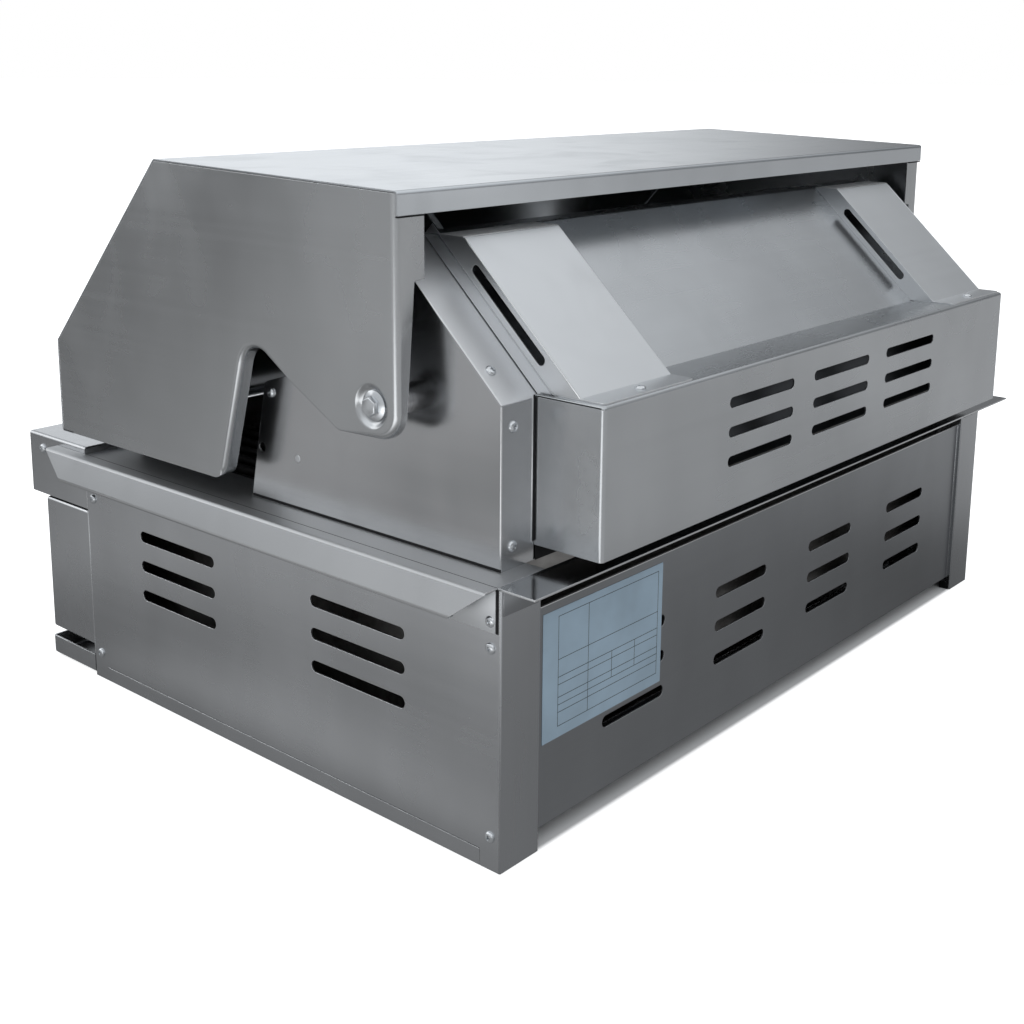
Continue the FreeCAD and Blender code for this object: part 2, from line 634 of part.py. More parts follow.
# Front ledge cap, control panel and drip tray
def front():
    cap_low = cap_top - CAP_HEIGHT
    back = -SIDE_DEPTH - SEAM
    cap = shell_box((-half, -cap_front, cap_low), (half, back, cap_top), SHEET, ("-z", "+y"), SHEET + BEND)
    lip = box(-liner_in, liner_in, back - SHEET, back, DECK_TOP + SEAM, cap_top - SHEET)
    cap = cap.fuse(lip).removeSplitter()
    for x in (-half, half):
        cap = cap.cut(screw_hole(V(x, -cap_front + CAP_SCREW_BACK, cap_top - CAP_SCREW_DROP), V(1, 0, 0)))
    keep("front_cap", cap)

    panel = shell_box((-half, -panel_front, PANEL_BOTTOM), (half, back, panel_top),
                      SHEET, ("+y",), PANEL_BEND)
    before, behind = -panel_front - OVERCUT, -panel_front + 2 * SHEET
    for x in valve_x:
        panel = panel.cut(rod_y(PANEL_HOLE, before, behind, x, BURNER_Z))
    wide = SWITCH_WIDTH / 2 - SWITCH_RIM + HOLE_FIT
    tall = SWITCH_HEIGHT / 2 - SWITCH_RIM + HOLE_FIT
    window = box(switch_x - wide, switch_x + wide, before, behind, SWITCH_Z - tall, SWITCH_Z + tall)
    keep("control_panel", panel.cut(window))

    base = TRAY_LIFT
    rim = base + TRAY_WALL
    tray_back = -SIDE_DEPTH - TRAY_GAP
    bend = SHEET + BEND
    tray = shell_box((-half, -tray_front, base), (half, tray_back, TRAY_HEIGHT), SHEET, ("+z", "+y"), bend)
    pan = shell_box((-tray_half, tray_back, base), (tray_half, -TRAY_REAR, rim), SHEET, ("+z", "-y"), bend)
    step = box(tray_half - SHEET, half - SHEET, tray_back - SHEET, tray_back, base + SHEET, rim)
    tray = tray.fuse([pan, step, mirrored(step)]).removeSplitter()
    keep("drip_tray", tray)


# Firebox with its ledges
def firebox():
    front_in = -box_front + SHEET
    back_in = back_face - SHEET
    liner = box(liner_in, liner_out, front_in, back_in, LINER_FOOT, DECK_TOP)
    flange = box(liner_out, liner_out + LINER_FLANGE, front_in, back_in, deck_under - SHEET, deck_under)
    liner = liner.fuse(flange).removeSplitter()
    keep("firebox_liners", liner, mirrored(liner))

    grate_seat = grate_top - GRATE_HEIGHT
    seats = (tamer_foot, grate_seat)
    wall = box(-liner_out, liner_out, -box_front, front_in, LINER_FOOT, DECK_TOP + BOX_UPSTAND)
    wall = wall.fuse(box(-liner_in, liner_in, -SIDE_DEPTH - SHEET, -box_front, deck_under, DECK_TOP))
    for z in seats:
        wall = wall.fuse(box(-liner_in, liner_in, front_in, front_in + LEDGE, z - SHEET, z))
    wall = wall.removeSplitter()
    for x in burner_x:
        mouth = rod_y(VENTURI_RADIUS + HOLE_FIT, -box_front - OVERCUT, front_in + OVERCUT, x, BURNER_Z)
        wall = wall.cut(mouth)
    keep("firebox_front", wall)

    low = box(-liner_out, liner_out, back_in, back_face, LINER_FOOT, DECK_TOP + SHEET)
    top = wall_top - SHEET - SEAM
    knee = knee_z + (slant_y(knee_z, -SHEET) - back_face) * math.tan(slant)
    line = [(back_face, DECK_TOP + SHEET), (back_face, knee), (slant_y(top, -SHEET), top)]
    high = bent_sheet(line, SHEET, -wall_in, wall_in)
    back = low.fuse(high)
    for z in seats:
        back = back.fuse(box(-liner_in, liner_in, back_in - LEDGE, back_in, z - SHEET, z))
    shelf = BURNER_Z - BURNER_RADIUS - SEAM
    back = back.fuse(box(-liner_in, liner_in, -BURNER_REAR - LEDGE, back_in, shelf - SHEET, shelf))
    back = back.removeSplitter()
    mouth_half = rear_burner_half - BURNER_RIM
    z0 = rear_burner_z - REAR_BURNER_HEIGHT / 2
    z1 = rear_burner_z + REAR_BURNER_HEIGHT / 2
    back = back.cut(box(-mouth_half, mouth_half, back_in - OVERCUT, back_face + OVERCUT, z0, z1))
    for place, axis in wall_screws():
        hole = screw_hole(place, axis)
        back = back.cut([hole, mirrored(hole)])
    keep("firebox_back", back)


def wall_screws():
    """Give the places and directions of the screws through the right wall's rear flange."""
    x = wall_out - WALL_SCREW_EDGE
    heights = (DECK_TOP + WALL_SCREW_END, knee_z - WALL_SCREW_END)
    upright = [(V(x, -WALL_REAR, z), V(0, 1, 0)) for z in heights]
    return upright + [(V(x, -WALL_REAR, knee_z) + slant_dir * SLANT_SCREW, slant_out)]


def lead_screw():
    """Give the place of the screw in the front corner of the right upper wall."""
    inset = 2 * SCREW_HEAD
    return V(wall_out, -WALL_LEAD + inset, DECK_TOP + WALL_LEAD_RISE - inset)


# Upper side walls
def upper_walls():
    top_y = slant_y(wall_top, 0)
    outline = [(-WALL_REAR, DECK_TOP), (-WALL_REAR, knee_z, SHEET + BEND), (top_y, wall_top)]
    outline += [(top_y - WALL_CROWN, wall_top), (-WALL_STEP, DECK_TOP + WALL_STEP_RISE)]
    outline += [(-WALL_LEAD, DECK_TOP + WALL_LEAD_RISE, WALL_LEAD_RADIUS)]
    outline += [(-WALL_TOE, DECK_TOP)]
    wall = profile_x(outline, wall_in, wall_out)
    line = [(-WALL_REAR, DECK_TOP), (-WALL_REAR, knee_z), (top_y, wall_top)]
    flange = bent_sheet(line, SHEET, wall_out - WALL_FLANGE, wall_out)
    foot = box(liner_out, wall_in, -WALL_TOE + BEND, back_face, DECK_TOP, DECK_TOP + SHEET)
    wall = wall.fuse([flange, foot]).removeSplitter()
    bends = [e for e in wall.Edges if outer_corner(e)]
    wall = wall.makeFillet(EDGE_ROUND * SHEET, bends)
    inside, outside = wall_in - OVERCUT, wall_out + OVERCUT
    spit = rod_x(WALL_HOLE, inside, outside, -spit_hole_y, DECK_TOP + SPIT_HOLE_RISE)
    pivot = rod_x(BOLT_RADIUS + HOLE_FIT, inside, outside, -PIVOT_Y, pivot_z)
    holes = [screw_hole(place, axis) for place, axis in wall_screws()]
    wall = wall.cut([spit, pivot, screw_hole(lead_screw(), V(1, 0, 0))] + holes)
    keep("firebox_side_right", wall)
    keep("firebox_side_left", mirrored(wall))


def outer_corner(edge):
    """Tell whether an edge lies on the outer rear corner of an upper wall."""
    bounds = edge.BoundBox
    flat = bounds.XLength < NEAR and abs(bounds.Center.x - wall_out) < NEAR
    if not flat or edge.Length < WALL_CROWN:
        return False
    middle = edge.valueAt((edge.FirstParameter + edge.LastParameter) / 2)
    upright = abs(middle.y + WALL_REAR) < NEAR
    sloped = abs(middle.y - slant_y(middle.z, 0)) < NEAR
    return upright or sloped


# Outer shield, burner housing and flue covers
def rear_body():
    shelf_under = housing_top - SHEET
    foot_y = slant_y(shelf_under, SHIELD_OFFSET)
    crown_y = slant_y(wall_top, 0)
    tail = foot_y + 2 * COVER_TAB
    line = [(tail, shelf_under), (foot_y, shelf_under)]
    line += [(slant_y(wall_top, SHIELD_OFFSET), wall_top), (crown_y - SHIELD_LAP, wall_top)]
    shield = bent_sheet(line, SHEET, -shield_half, shield_half)
    # The lip of the shield is cut back beside the flanges of the upper walls.
    relief = box(wall_out - WALL_FLANGE - SEAM, shield_half + OVERCUT, crown_y - SHIELD_LAP - OVERCUT,
                 crown_y + SHEET, wall_top - SHEET - SEAM, wall_top + OVERCUT)
    shield = shield.cut([relief, mirrored(relief)])

    low = housing_low
    inner = housing_half - SHEET
    front_edge = -WALL_REAR + SEAM
    body = shell_box((-housing_half, front_edge, low), (housing_half, HOUSING_REACH, housing_top),
                     SHEET, ("-y", "-z"), SHEET + BEND)
    shelf_edge = foot_y + BEND + SEAM
    open_top = box(-inner, inner, front_edge - OVERCUT, shelf_edge,
                   shelf_under - OVERCUT, housing_top + OVERCUT)
    body = body.cut(open_top)
    hem = box(-inner, inner, HOUSING_REACH - HOUSING_HEM, HOUSING_REACH - SHEET, low, low + SHEET)
    body = body.fuse(hem).removeSplitter()
    vent = turned(slot(VENT_LENGTH, VENT_WIDTH, 4 * SHEET), V(1, 0, 0), 90)
    for group in range(VENT_GROUPS):
        x = (group - (VENT_GROUPS - 1) / 2) * VENT_PITCH
        for row in range(SLOT_ROWS):
            body = body.cut(moved(vent, x, HOUSING_REACH, vent_top - row * VENT_STEP))
    hole = screw_hole(cover_screw(), V(0, 0, 1))
    keep("rear_burner_housing", body.cut([hole, mirrored(hole)]))
    keep("rear_shield", shield.cut([hole, mirrored(hole)]))

    cover = flue_cover()
    keep("flue_cover_right", cover)
    keep("flue_cover_left", mirrored(cover))


def cover_foot():
    """Give y where a flue cover's slanted face meets the shelf."""
    return slant_y(housing_top, SHIELD_OFFSET + COVER_PROUD)


def cover_screw():
    """Give the place of the screw through the right flue cover's tab."""
    return V(shield_half - COVER_WIDTH / 2, cover_foot() + COVER_TAB / 2, housing_top + COVER_SHEET)


def flue_cover():
    """Make the right flue cover: a raised box on the shield with slotted side faces."""
    def prism(inset, x0, x1, reach):
        off = SHIELD_OFFSET + COVER_PROUD - inset
        top = wall_top - inset
        base = housing_top
        floor = SHIELD_OFFSET - reach
        return profile_x([(slant_y(base, off), base), (slant_y(top, off), top),
                          (slant_y(top, floor), top), (slant_y(base, floor), base)], x0, x1)
    x1 = shield_half
    x0 = x1 - COVER_WIDTH
    outer = prism(0, x0, x1, 0)
    ridge = [e for e in outer.Edges if abs(e.BoundBox.XLength - COVER_WIDTH) < NEAR
             and e.BoundBox.Center.z > wall_top - NEAR
             and e.BoundBox.Center.y > slant_y(wall_top, SHIELD_OFFSET + COVER_PROUD / 2)]
    outer = outer.makeFillet(COVER_SHEET + BEND, ridge)
    cover = outer.cut(prism(COVER_SHEET, x0 + COVER_SHEET, x1 - COVER_SHEET, HOLE_CUT))
    foot = cover_foot()
    tab = profile_z([(x0, foot - COVER_SHEET), (x1, foot - COVER_SHEET),
                     (x1, foot + COVER_TAB, COVER_TAB_ROUND), (x0, foot + COVER_TAB, COVER_TAB_ROUND)],
                    housing_top, housing_top + COVER_SHEET)
    cover = cover.fuse(tab).removeSplitter()
    middle_z = (housing_top + wall_top) / 2
    middle_y = slant_y(middle_z, SHIELD_OFFSET + COVER_PROUD / 2)
    cutter = slot(COVER_SLOT_LENGTH, COVER_SLOT_WIDTH, 4 * COVER_SHEET)
    cutter = turned(turned(cutter, V(0, 0, 1), 90), V(0, 1, 0), 90)
    cutter = turned(cutter, V(1, 0, 0), -SLANT)
    for x in (x0, x1):
        cover = cover.cut(moved(cutter, x, middle_y, middle_z))
    return cover.cut(screw_hole(cover_screw(), V(0, 0, 1)))


# Rear burner
def rear_burner():
    mouth_half = rear_burner_half - BURNER_RIM
    mouth = REAR_BURNER_HEIGHT / 2
    z0 = rear_burner_z - mouth
    z1 = rear_burner_z + mouth
    rim = box(-rear_burner_half, rear_burner_half, back_face, back_face + SHEET,
              z0 - BURNER_RIM, z1 + BURNER_RIM)
    rear = back_face + REAR_BURNER_DEPTH
    inner = mouth_half - SHEET
    body = rim.fuse(box(-mouth_half, mouth_half, back_face, rear, z0, z1)).removeSplitter()
    hollow = box(-inner, inner, back_face - OVERCUT, rear - SHEET, z0 + SHEET, z1 - SHEET)
    keep("rear_burner_body", body.cut(hollow))
    fit = SHEET + SEAM
    tile = box(-mouth_half + fit, mouth_half - fit, back_face, back_face + TILE_DEPTH, z0 + fit, z1 - fit)
    keep("rear_burner_tile", tile)


# Burners, flame tamers, grates and warming rack
def burners():
    tubes, tents = [], []
    wall = BURNER_WALL
    for x in burner_x:
        tube = rod_y(BURNER_RADIUS, -burner_front, -BURNER_REAR, x, BURNER_Z)
        mouth = rod_y(VENTURI_RADIUS, -venturi_mouth, -burner_front + wall, x, BURNER_Z)
        bore = rod_y(VENTURI_RADIUS - wall, -venturi_mouth - OVERCUT, -burner_front + 2 * wall, x, BURNER_Z)
        hollow = rod_y(BURNER_RADIUS - wall, -burner_front + wall, -BURNER_REAR - wall, x, BURNER_Z)
        tubes.append(tube.fuse(mouth).removeSplitter().cut(bore.fuse(hollow)))
        wing = TAMER_WIDTH / 2
        line = [(x + wing, tamer_foot), (x, tamer_foot + TAMER_RISE), (x - wing, tamer_foot)]
        ends = (-box_front + 2 * SHEET, back_face - 2 * SHEET)
        tents.append(profile_y(bent_outline(line, SHEET), ends[0], ends[1]))
    keep("main_burners", *tubes)
    feet = tamer_foot - min(tent.BoundBox.ZMin for tent in tents)
    keep("flame_tamers", *[moved(tent, 0, 0, feet) for tent in tents])


def grates():
    front_y = -box_front + 2 * SHEET
    back_y = back_face - 2 * SHEET
    span = 2 * liner_in - GRATE_GAP
    width = span / GRATE_COUNT - GRATE_GAP
    names = ("left", "middle", "right")
    low = grate_top - GRATE_HEIGHT
    count = int((width - GRATE_BAR) // (GRATE_BAR + GRATE_SLOT))
    pitch = (width - GRATE_BAR) / count
    rim = 2 * GRATE_BAR
    for i, name in enumerate(names):
        x0 = -liner_in + GRATE_GAP + i * (width + GRATE_GAP)
        plate = box(x0, x0 + width, front_y, back_y, low, grate_top)
        gaps = []
        for k in range(count):
            a = x0 + GRATE_BAR + k * pitch
            b = a + pitch - GRATE_BAR
            gaps.append(box(a, b, front_y + rim, back_y - rim, low - OVERCUT, grate_top + OVERCUT))
        keep("cooking_grate_" + name, plate.cut(Part.makeCompound(gaps)))


def warming_rack():
    z = DECK_TOP + RACK_RISE
    reach = wall_in - SEAM
    inner = reach - RACK_LEDGE
    bars = [rod_x(RACK_ROD, -reach, reach, y, z) for y in (-RACK_FRONT, -RACK_REAR)]
    step = 2 * inner / (RACK_WIRES - 1)
    over = RACK_ROD + RACK_WIRE * RACK_SEAT
    wires = [rod_y(RACK_WIRE, -RACK_FRONT - RACK_ROD, -RACK_REAR + RACK_ROD, -inner + k * step, z + over)
             for k in range(RACK_WIRES)]
    keep("warming_rack", bars[0].fuse(bars[1:] + wires))
    seat = z - RACK_ROD
    hooks = []
    for y in (-RACK_FRONT, -RACK_REAR):
        y0, y1 = y - RACK_BRACKET / 2, y + RACK_BRACKET / 2
        ledge = box(wall_in - RACK_LEDGE, wall_in, y0, y1, seat - SHEET - SEAM, seat - SEAM)
        back = box(wall_in - SHEET, wall_in, y0, y1, seat - RACK_BRACKET, seat - SEAM)
        hook = ledge.fuse(back).removeSplitter()
        hooks += [hook, mirrored(hook)]
    keep("rack_brackets", *hooks)


# Gas manifold, valves, stems and knobs
def gas_train():
    z0 = manifold_z() - MANIFOLD / 2
    z1 = z0 + MANIFOLD
    y0 = -manifold_y - MANIFOLD / 2
    tube = box(-manifold_half, manifold_half, y0, y0 + MANIFOLD, z0, z1)
    long_edges = [e for e in tube.Edges if e.BoundBox.XLength > manifold_half]
    keep("gas_manifold", tube.makeFillet(MANIFOLD_ROUND, long_edges))

    blocks = []
    for x in valve_x:
        wide = VALVE_WIDTH / 2
        block = box(x - wide, x + wide, -valve_front, y0 + MANIFOLD, z1, z1 + VALVE_HEIGHT)
        edges = [e for e in block.Edges if e.BoundBox.YLength > NEAR and e.BoundBox.Center.z > z1 + NEAR]
        block = block.makeFillet(VALVE_ROUND, edges)
        neck = -valve_front - VALVE_NECK_LENGTH
        block = block.fuse(rod_y(VALVE_NECK, neck, -valve_front + OVERCUT, x, BURNER_Z))
        if x in burner_x:
            block = block.fuse(rod_y(NOZZLE_RADIUS, y0 + MANIFOLD - OVERCUT, -nozzle_tip, x, BURNER_Z))
        deep = -stem_rear + STEM_TRAVEL + STEM_END_GAP
        bore = rod_y(STEM_RADIUS + RUN_FIT, neck - OVERCUT, deep, x, BURNER_Z)
        blocks.append(block.removeSplitter().cut(bore))
    keep("gas_valves", *blocks)

    bezels = []
    bezel_face = -panel_front - BEZEL_HEIGHT
    stem_tip = knob_face - KNOB_SOCKET + KNOB_SOCKET_GAP
    for i, x in enumerate(valve_x, 1):
        keep("valve_stem_%d" % i, rod_y(STEM_RADIUS, stem_tip, -stem_rear, x, BURNER_Z))
        keep("control_knob_%d" % i, knob(x))
        ring = rod_y(BEZEL_RADIUS, bezel_face, -panel_front, x, BURNER_Z)
        rim = [e for e in ring.Edges if e.BoundBox.YMax < bezel_face + NEAR]
        ring = ring.makeFillet(BEZEL_ROUND, rim)
        bezels.append(ring.cut(rod_y(BEZEL_BORE, bezel_face - OVERCUT, -panel_front + OVERCUT, x, BURNER_Z)))
    keep("knob_bezels", *bezels)

    keep("gas_inlet", inlet_pipe())


def inlet_pipe():
    """Make the inlet: a pipe from the manifold's end, back along the side and out through the left panel."""
    x, y, z = -half + INLET_INSET, -inlet_y, manifold_z()
    core = INLET_BODY
    lug = INLET_BODY + INLET_LUG
    thread = -half - INLET_SHOULDER
    tip = thread - INLET_THREAD
    pipe = box(x - core, -manifold_half, -manifold_y - core, -manifold_y + core, z - core, z + core)
    elbow = box(x - lug, x + lug, y - lug, y + lug, z - lug, z + lug)
    run = rod_y(core, -manifold_y, y, x, z)
    neck = rod_x(INLET_NECK, thread, x, y, z)
    pipe = pipe.fuse([elbow, run, neck, rod_x(INLET_RADIUS, tip, thread, y, z)]).removeSplitter()
    return pipe.cut(rod_x(INLET_BORE, tip - OVERCUT, x, y, z))


def knob(x):
    """Turn one knob: a skirt, a tapered grip with a rounded end and a pointer groove."""
    skirt_end = knob_face - KNOB_SKIRT
    line = [(0, knob_face), (KNOB_RADIUS, knob_face), (KNOB_RADIUS, skirt_end)]
    line += [(KNOB_GRIP_RADIUS, skirt_end - KNOB_SLOPE), (KNOB_GRIP_RADIUS - KNOB_DRAFT, knob_tip)]
    line += [(0, knob_tip)]
    points = [V(radius, y, 0) for radius, y in line]
    body = Part.Face(Part.makePolygon(points + points[:1])).revolve(V(0, 0, 0), V(0, 1, 0), 360)
    rim = [e for e in body.Edges if abs(e.BoundBox.Center.y - knob_tip) < NEAR
           and e.BoundBox.XLength > KNOB_GRIP_RADIUS]
    body = body.makeFillet(KNOB_ROUND, rim)
    groove = box(-GROOVE_WIDTH / 2, GROOVE_WIDTH / 2, knob_tip - OVERCUT, knob_tip + GROOVE_DEPTH,
                 GROOVE_START, KNOB_GRIP_RADIUS + OVERCUT)
    socket = rod_y(STEM_RADIUS + RUN_FIT, knob_face - KNOB_SOCKET, knob_face + OVERCUT, 0, 0)
    return moved(body.cut([groove, socket]), x, 0, BURNER_Z)


# Light switch
def light_switch():
    wide = SWITCH_WIDTH / 2
    tall = SWITCH_HEIGHT / 2
    face = -panel_front
    bezel = box(switch_x - wide, switch_x + wide, face - SWITCH_BEZEL, face, SWITCH_Z - tall, SWITCH_Z + tall)
    inner_wide = wide - SWITCH_RIM
    inner_tall = tall - SWITCH_RIM
    body = box(switch_x - inner_wide, switch_x + inner_wide, face - SWITCH_BEZEL / 2, face + SWITCH_DEPTH,
               SWITCH_Z - inner_tall, SWITCH_Z + inner_tall)
    well_wide = inner_wide - SWITCH_WALL
    well_tall = inner_tall - SWITCH_END_WALL
    floor = face + ROCKER_RADIUS + SWITCH_FLOOR_GAP
    well = box(switch_x - well_wide, switch_x + well_wide, face - SWITCH_BEZEL - OVERCUT, floor,
               SWITCH_Z - well_tall, SWITCH_Z + well_tall)
    keep("light_switch", bezel.fuse(body).removeSplitter().cut(well))

    reach = well_wide - SEAM
    axis_y = face + ROCKER_AXIS
    drum = rod_x(ROCKER_RADIUS, switch_x - reach, switch_x + reach, axis_y, SWITCH_Z)
    key_half = ROCKER_RADIUS * ROCKER_KEY
    rise = math.tan(math.radians(ROCKER_TILT)) * key_half
    front_y = axis_y - ROCKER_PROUD
    low, high = SWITCH_Z - key_half, SWITCH_Z + key_half
    key = [(axis_y, low), (front_y + rise, low), (front_y + ROCKER_DISH, SWITCH_Z)]
    key += [(front_y - rise, high), (axis_y, high)]
    paddle = profile_x(key, switch_x - reach, switch_x + reach)
    front_half = box(switch_x - wide, switch_x + wide, axis_y - SWITCH_HEIGHT, axis_y,
                     SWITCH_Z - SWITCH_HEIGHT, SWITCH_Z + SWITCH_HEIGHT)
    keep("switch_rocker", drum.cut(front_half).fuse(paddle).removeSplitter())


# Hood
def hood_line():
    """Give the face line of the hood's shell, from the rear lip round to the front hem."""
    return [(-HOOD_REAR, hood_top_rear - HOOD_LIP), (-HOOD_REAR, hood_top_rear),
            (-HOOD_REAR - HOOD_TOP_DEPTH, hood_top_front), (-hood_front, hood_break),
            (-hood_front, hood_bottom), (-hood_front + HOOD_HEM, hood_bottom)]


def dial_place(shape):
    """Put a shape made about Z on the middle of the hood's slope, its Z outwards."""
    y = -(HOOD_REAR + HOOD_TOP_DEPTH + hood_front) / 2
    z = (hood_top_front + hood_break) / 2
    return moved(turned(shape, V(1, 0, 0), math.degrees(slope_angle)), 0, y, z)


def hood():
    shell = bent_sheet(hood_line(), SHEET, -hood_half, hood_half)
    shell = shell.cut(dial_place(rod_z(PROBE_RADIUS + HOLE_FIT, -HOLE_CUT, HOLE_CUT, 0, 0)))
    before, behind = -hood_front - OVERCUT, -hood_front + SHEET + OVERCUT
    for x in (-handle_post_x, handle_post_x):
        shell = shell.cut(rod_y(BOLT_RADIUS + HOLE_FIT, before, behind, x, handle_z))
    keep("hood_shell", shell)
    plate = hood_side()
    keep("hood_side_right", plate)
    keep("hood_side_left", mirrored(plate))


def hood_side():
    """Make the right side plate of the hood, with its notch, ear, returns and hinge dimple."""
    inside = offset_line(hood_line(), SHEET + SEAM)
    rear = inside[1][0]
    out = hood_half
    low = pivot_z - EAR_DROP
    outline = [(rear, inside[1][1], BEND), (rear, low, EAR_RADIUS)]
    outline += [(-PIVOT_Y - EAR_LEAD, low, EAR_LEAD_RADIUS)]
    outline += [(-NOTCH_Y, notch_z, NOTCH_RADIUS), (-NOTCH_FOOT, hood_bottom, NOTCH_FOOT_RADIUS)]
    outline += [(inside[3][0], hood_bottom + SHEET + SEAM), inside[3] + (BEND,), inside[2] + (BEND,)]
    plate = profile_x(outline, out - SHEET, out)
    deep = out - HOOD_RETURN
    step = hood_top_rear - RETURN_STEP
    top = inside[1][1] - BEND
    end = low + EAR_RADIUS + RETURN_END
    middle = out - (HOOD_RETURN + EAR_RETURN) / 2
    fold = [(out, top), (deep, top), (deep, step), (middle, step - RETURN_CHAMFER)]
    fold += [(out - EAR_RETURN, end), (out, end)]
    plate = plate.fuse(profile_y(fold, rear - SHEET, rear))
    # The return along the notch follows the plate's edge from its foot up over the apex.
    ear, apex = (-PIVOT_Y - EAR_LEAD, low), (-NOTCH_Y, notch_z)
    foot, under = (-NOTCH_FOOT, hood_bottom), (-PIVOT_Y, hood_bottom)
    grown = offset_line([under, ear, apex, foot], -SHEET)
    skin = [grown[1], grown[2] + (NOTCH_RADIUS + SHEET,), grown[3], grown[0]]
    inward = out - NOTCH_RETURN
    void = profile_x([ear, apex + (NOTCH_RADIUS,), foot, under], inward - OVERCUT, out + OVERCUT)
    band = profile_x(skin, inward, out).cut(void)
    reach = box(inward - OVERCUT, out + OVERCUT, -NOTCH_FOOT - NOTCH_FOOT_RADIUS, -NOTCH_Y + RETURN_APEX,
                hood_bottom + NOTCH_FOOT_RADIUS, notch_z + NOTCH_RADIUS)
    plate = plate.fuse(band.common(reach)).removeSplitter()
    bends = [e for e in plate.Edges if return_bend(e, rear)]
    plate = plate.makeFillet(EDGE_ROUND * SHEET, bends)
    y, z = -PIVOT_Y, pivot_z
    sunk = out - DIMPLE_DEPTH
    mouth = DIMPLE_RADIUS - SHEET
    plate = plate.cut(rod_x(mouth, out - 2 * SHEET, out + OVERCUT, y, z))
    cup = rod_x(DIMPLE_RADIUS, sunk - SHEET, out - SHEET, y, z)
    cup = cup.cut(rod_x(mouth, sunk, out + OVERCUT, y, z))
    plate = plate.fuse(cup).removeSplitter()
    return plate.cut(rod_x(BUSH_RADIUS + RUN_FIT, sunk - 2 * SHEET, out + OVERCUT, y, z))


def return_bend(edge, rear):
    """Tell whether an edge is the outer bend of one of the side plate's returns."""
    bounds = edge.BoundBox
    on_face = bounds.XLength < NEAR and abs(bounds.Center.x - hood_half) < NEAR
    return on_face and abs(bounds.Center.y - rear) < NEAR and bounds.ZLength > EAR_RADIUS


def handle():
    axis_y = -hood_front - HANDLE_STANDOFF
    bar = rod_x(HANDLE_RADIUS, -HANDLE_HALF, HANDLE_HALF, axis_y, handle_z)
    bar = bar.makeFillet(HANDLE_END_ROUND, [e for e in bar.Edges if e.BoundBox.XLength < NEAR])
    keep("handle_bar", bar)
    posts = []
    for x in (-handle_post_x, handle_post_x):
        post = rod_y(HANDLE_POST_RADIUS, axis_y, -hood_front, x, handle_z)
        foot = rod_y(HANDLE_FOOT_RADIUS, -hood_front - HANDLE_FOOT, -hood_front, x, handle_z)
        stud_end = -hood_front + SHEET + NUT_HEIGHT
        stud = rod_y(BOLT_RADIUS, -hood_front - HANDLE_FOOT / 2, stud_end, x, handle_z)
        posts.append(post.fuse([foot, stud]).removeSplitter().cut(bar))
    keep("handle_posts", *posts)


def thermometer():
    case = rod_z(DIAL_RADIUS, 0, DIAL_HEIGHT, 0, 0)
    case = case.makeFillet(DIAL_ROUND, [e for e in case.Edges if e.BoundBox.ZMin > DIAL_HEIGHT - NEAR])
    floor = DIAL_HEIGHT - DIAL_RECESS
    case = case.cut(rod_z(DIAL_RADIUS - DIAL_RIM, floor, DIAL_HEIGHT + OVERCUT, 0, 0))
    probe = rod_z(PROBE_RADIUS, -PROBE_LENGTH, floor / 2, 0, 0)
    pin = rod_z(DIAL_PIN, floor / 2, floor + DIAL_PIN_HEIGHT, 0, 0)
    keep("thermometer_case", dial_place(case.fuse([probe, pin]).removeSplitter()))
    lift = floor + SEAM
    hub = rod_z(NEEDLE_HUB, lift, lift + NEEDLE_HUB_HEIGHT, 0, 0)
    root, tip = NEEDLE_ROOT / 2, NEEDLE_TIP / 2
    blade = [(-root, 0), (root, 0), (tip, NEEDLE_LENGTH), (-tip, NEEDLE_LENGTH)]
    needle = hub.fuse(profile_z(blade, lift, lift + NEEDLE_SHEET)).removeSplitter()
    needle = needle.cut(rod_z(DIAL_PIN + RUN_FIT, floor, DIAL_HEIGHT, 0, 0))
    keep("thermometer_needle", dial_place(turned(needle, V(0, 0, 1), NEEDLE_REST)))


# Hinge bolts, bushes and bumpers
def hinge():
    y, z = -PIVOT_Y, pivot_z
    floor = hood_half - DIMPLE_DEPTH
    shoulder = floor - SHEET - SEAM
    bush = rod_x(SPACER_RADIUS, wall_out, shoulder, y, z)
    bush = bush.fuse(rod_x(BUSH_RADIUS, shoulder - SHEET, floor + SEAM, y, z)).removeSplitter()
    bush = bush.cut(rod_x(BOLT_RADIUS + HOLE_FIT, wall_out - OVERCUT, hood_half, y, z))
    keep("pivot_bushes", bush, mirrored(bush))
    washer = floor + SEAM
    bolt = rod_x(BOLT_RADIUS, wall_in - NUT_HEIGHT - BOLT_END, washer + SHEET, y, z)
    bolt = bolt.fuse(rod_x(WASHER_RADIUS, washer, washer + SHEET, y, z))
    bolt = bolt.fuse(hexagon(washer + SHEET, washer + SHEET + BOLT_HEAD_HEIGHT)).removeSplitter()
    nut = hexagon(wall_in - NUT_HEIGHT, wall_in).cut(rod_x(BOLT_RADIUS + RUN_FIT, 0, half, y, z))
    keep("pivot_bolts", bolt, mirrored(bolt))
    keep("pivot_nuts", nut, mirrored(nut))
    seat = -hood_front + HOOD_HEM / 2
    pads = [rod_z(BUMPER_RADIUS, cap_top, hood_bottom - SEAM, x, seat) for x in (-bumper_x, bumper_x)]
    keep("hood_bumpers", *pads)


def hexagon(x0, x1):
    """Make a hexagon of the bolt head's size about the hinge axis."""
    reach = BOLT_HEAD / 2 / math.cos(math.pi / 6)
    turns = [k * math.pi / 3 for k in range(6)]
    return profile_x([(reach * math.cos(t) - PIVOT_Y, reach * math.sin(t) + pivot_z) for t in turns], x0, x1)


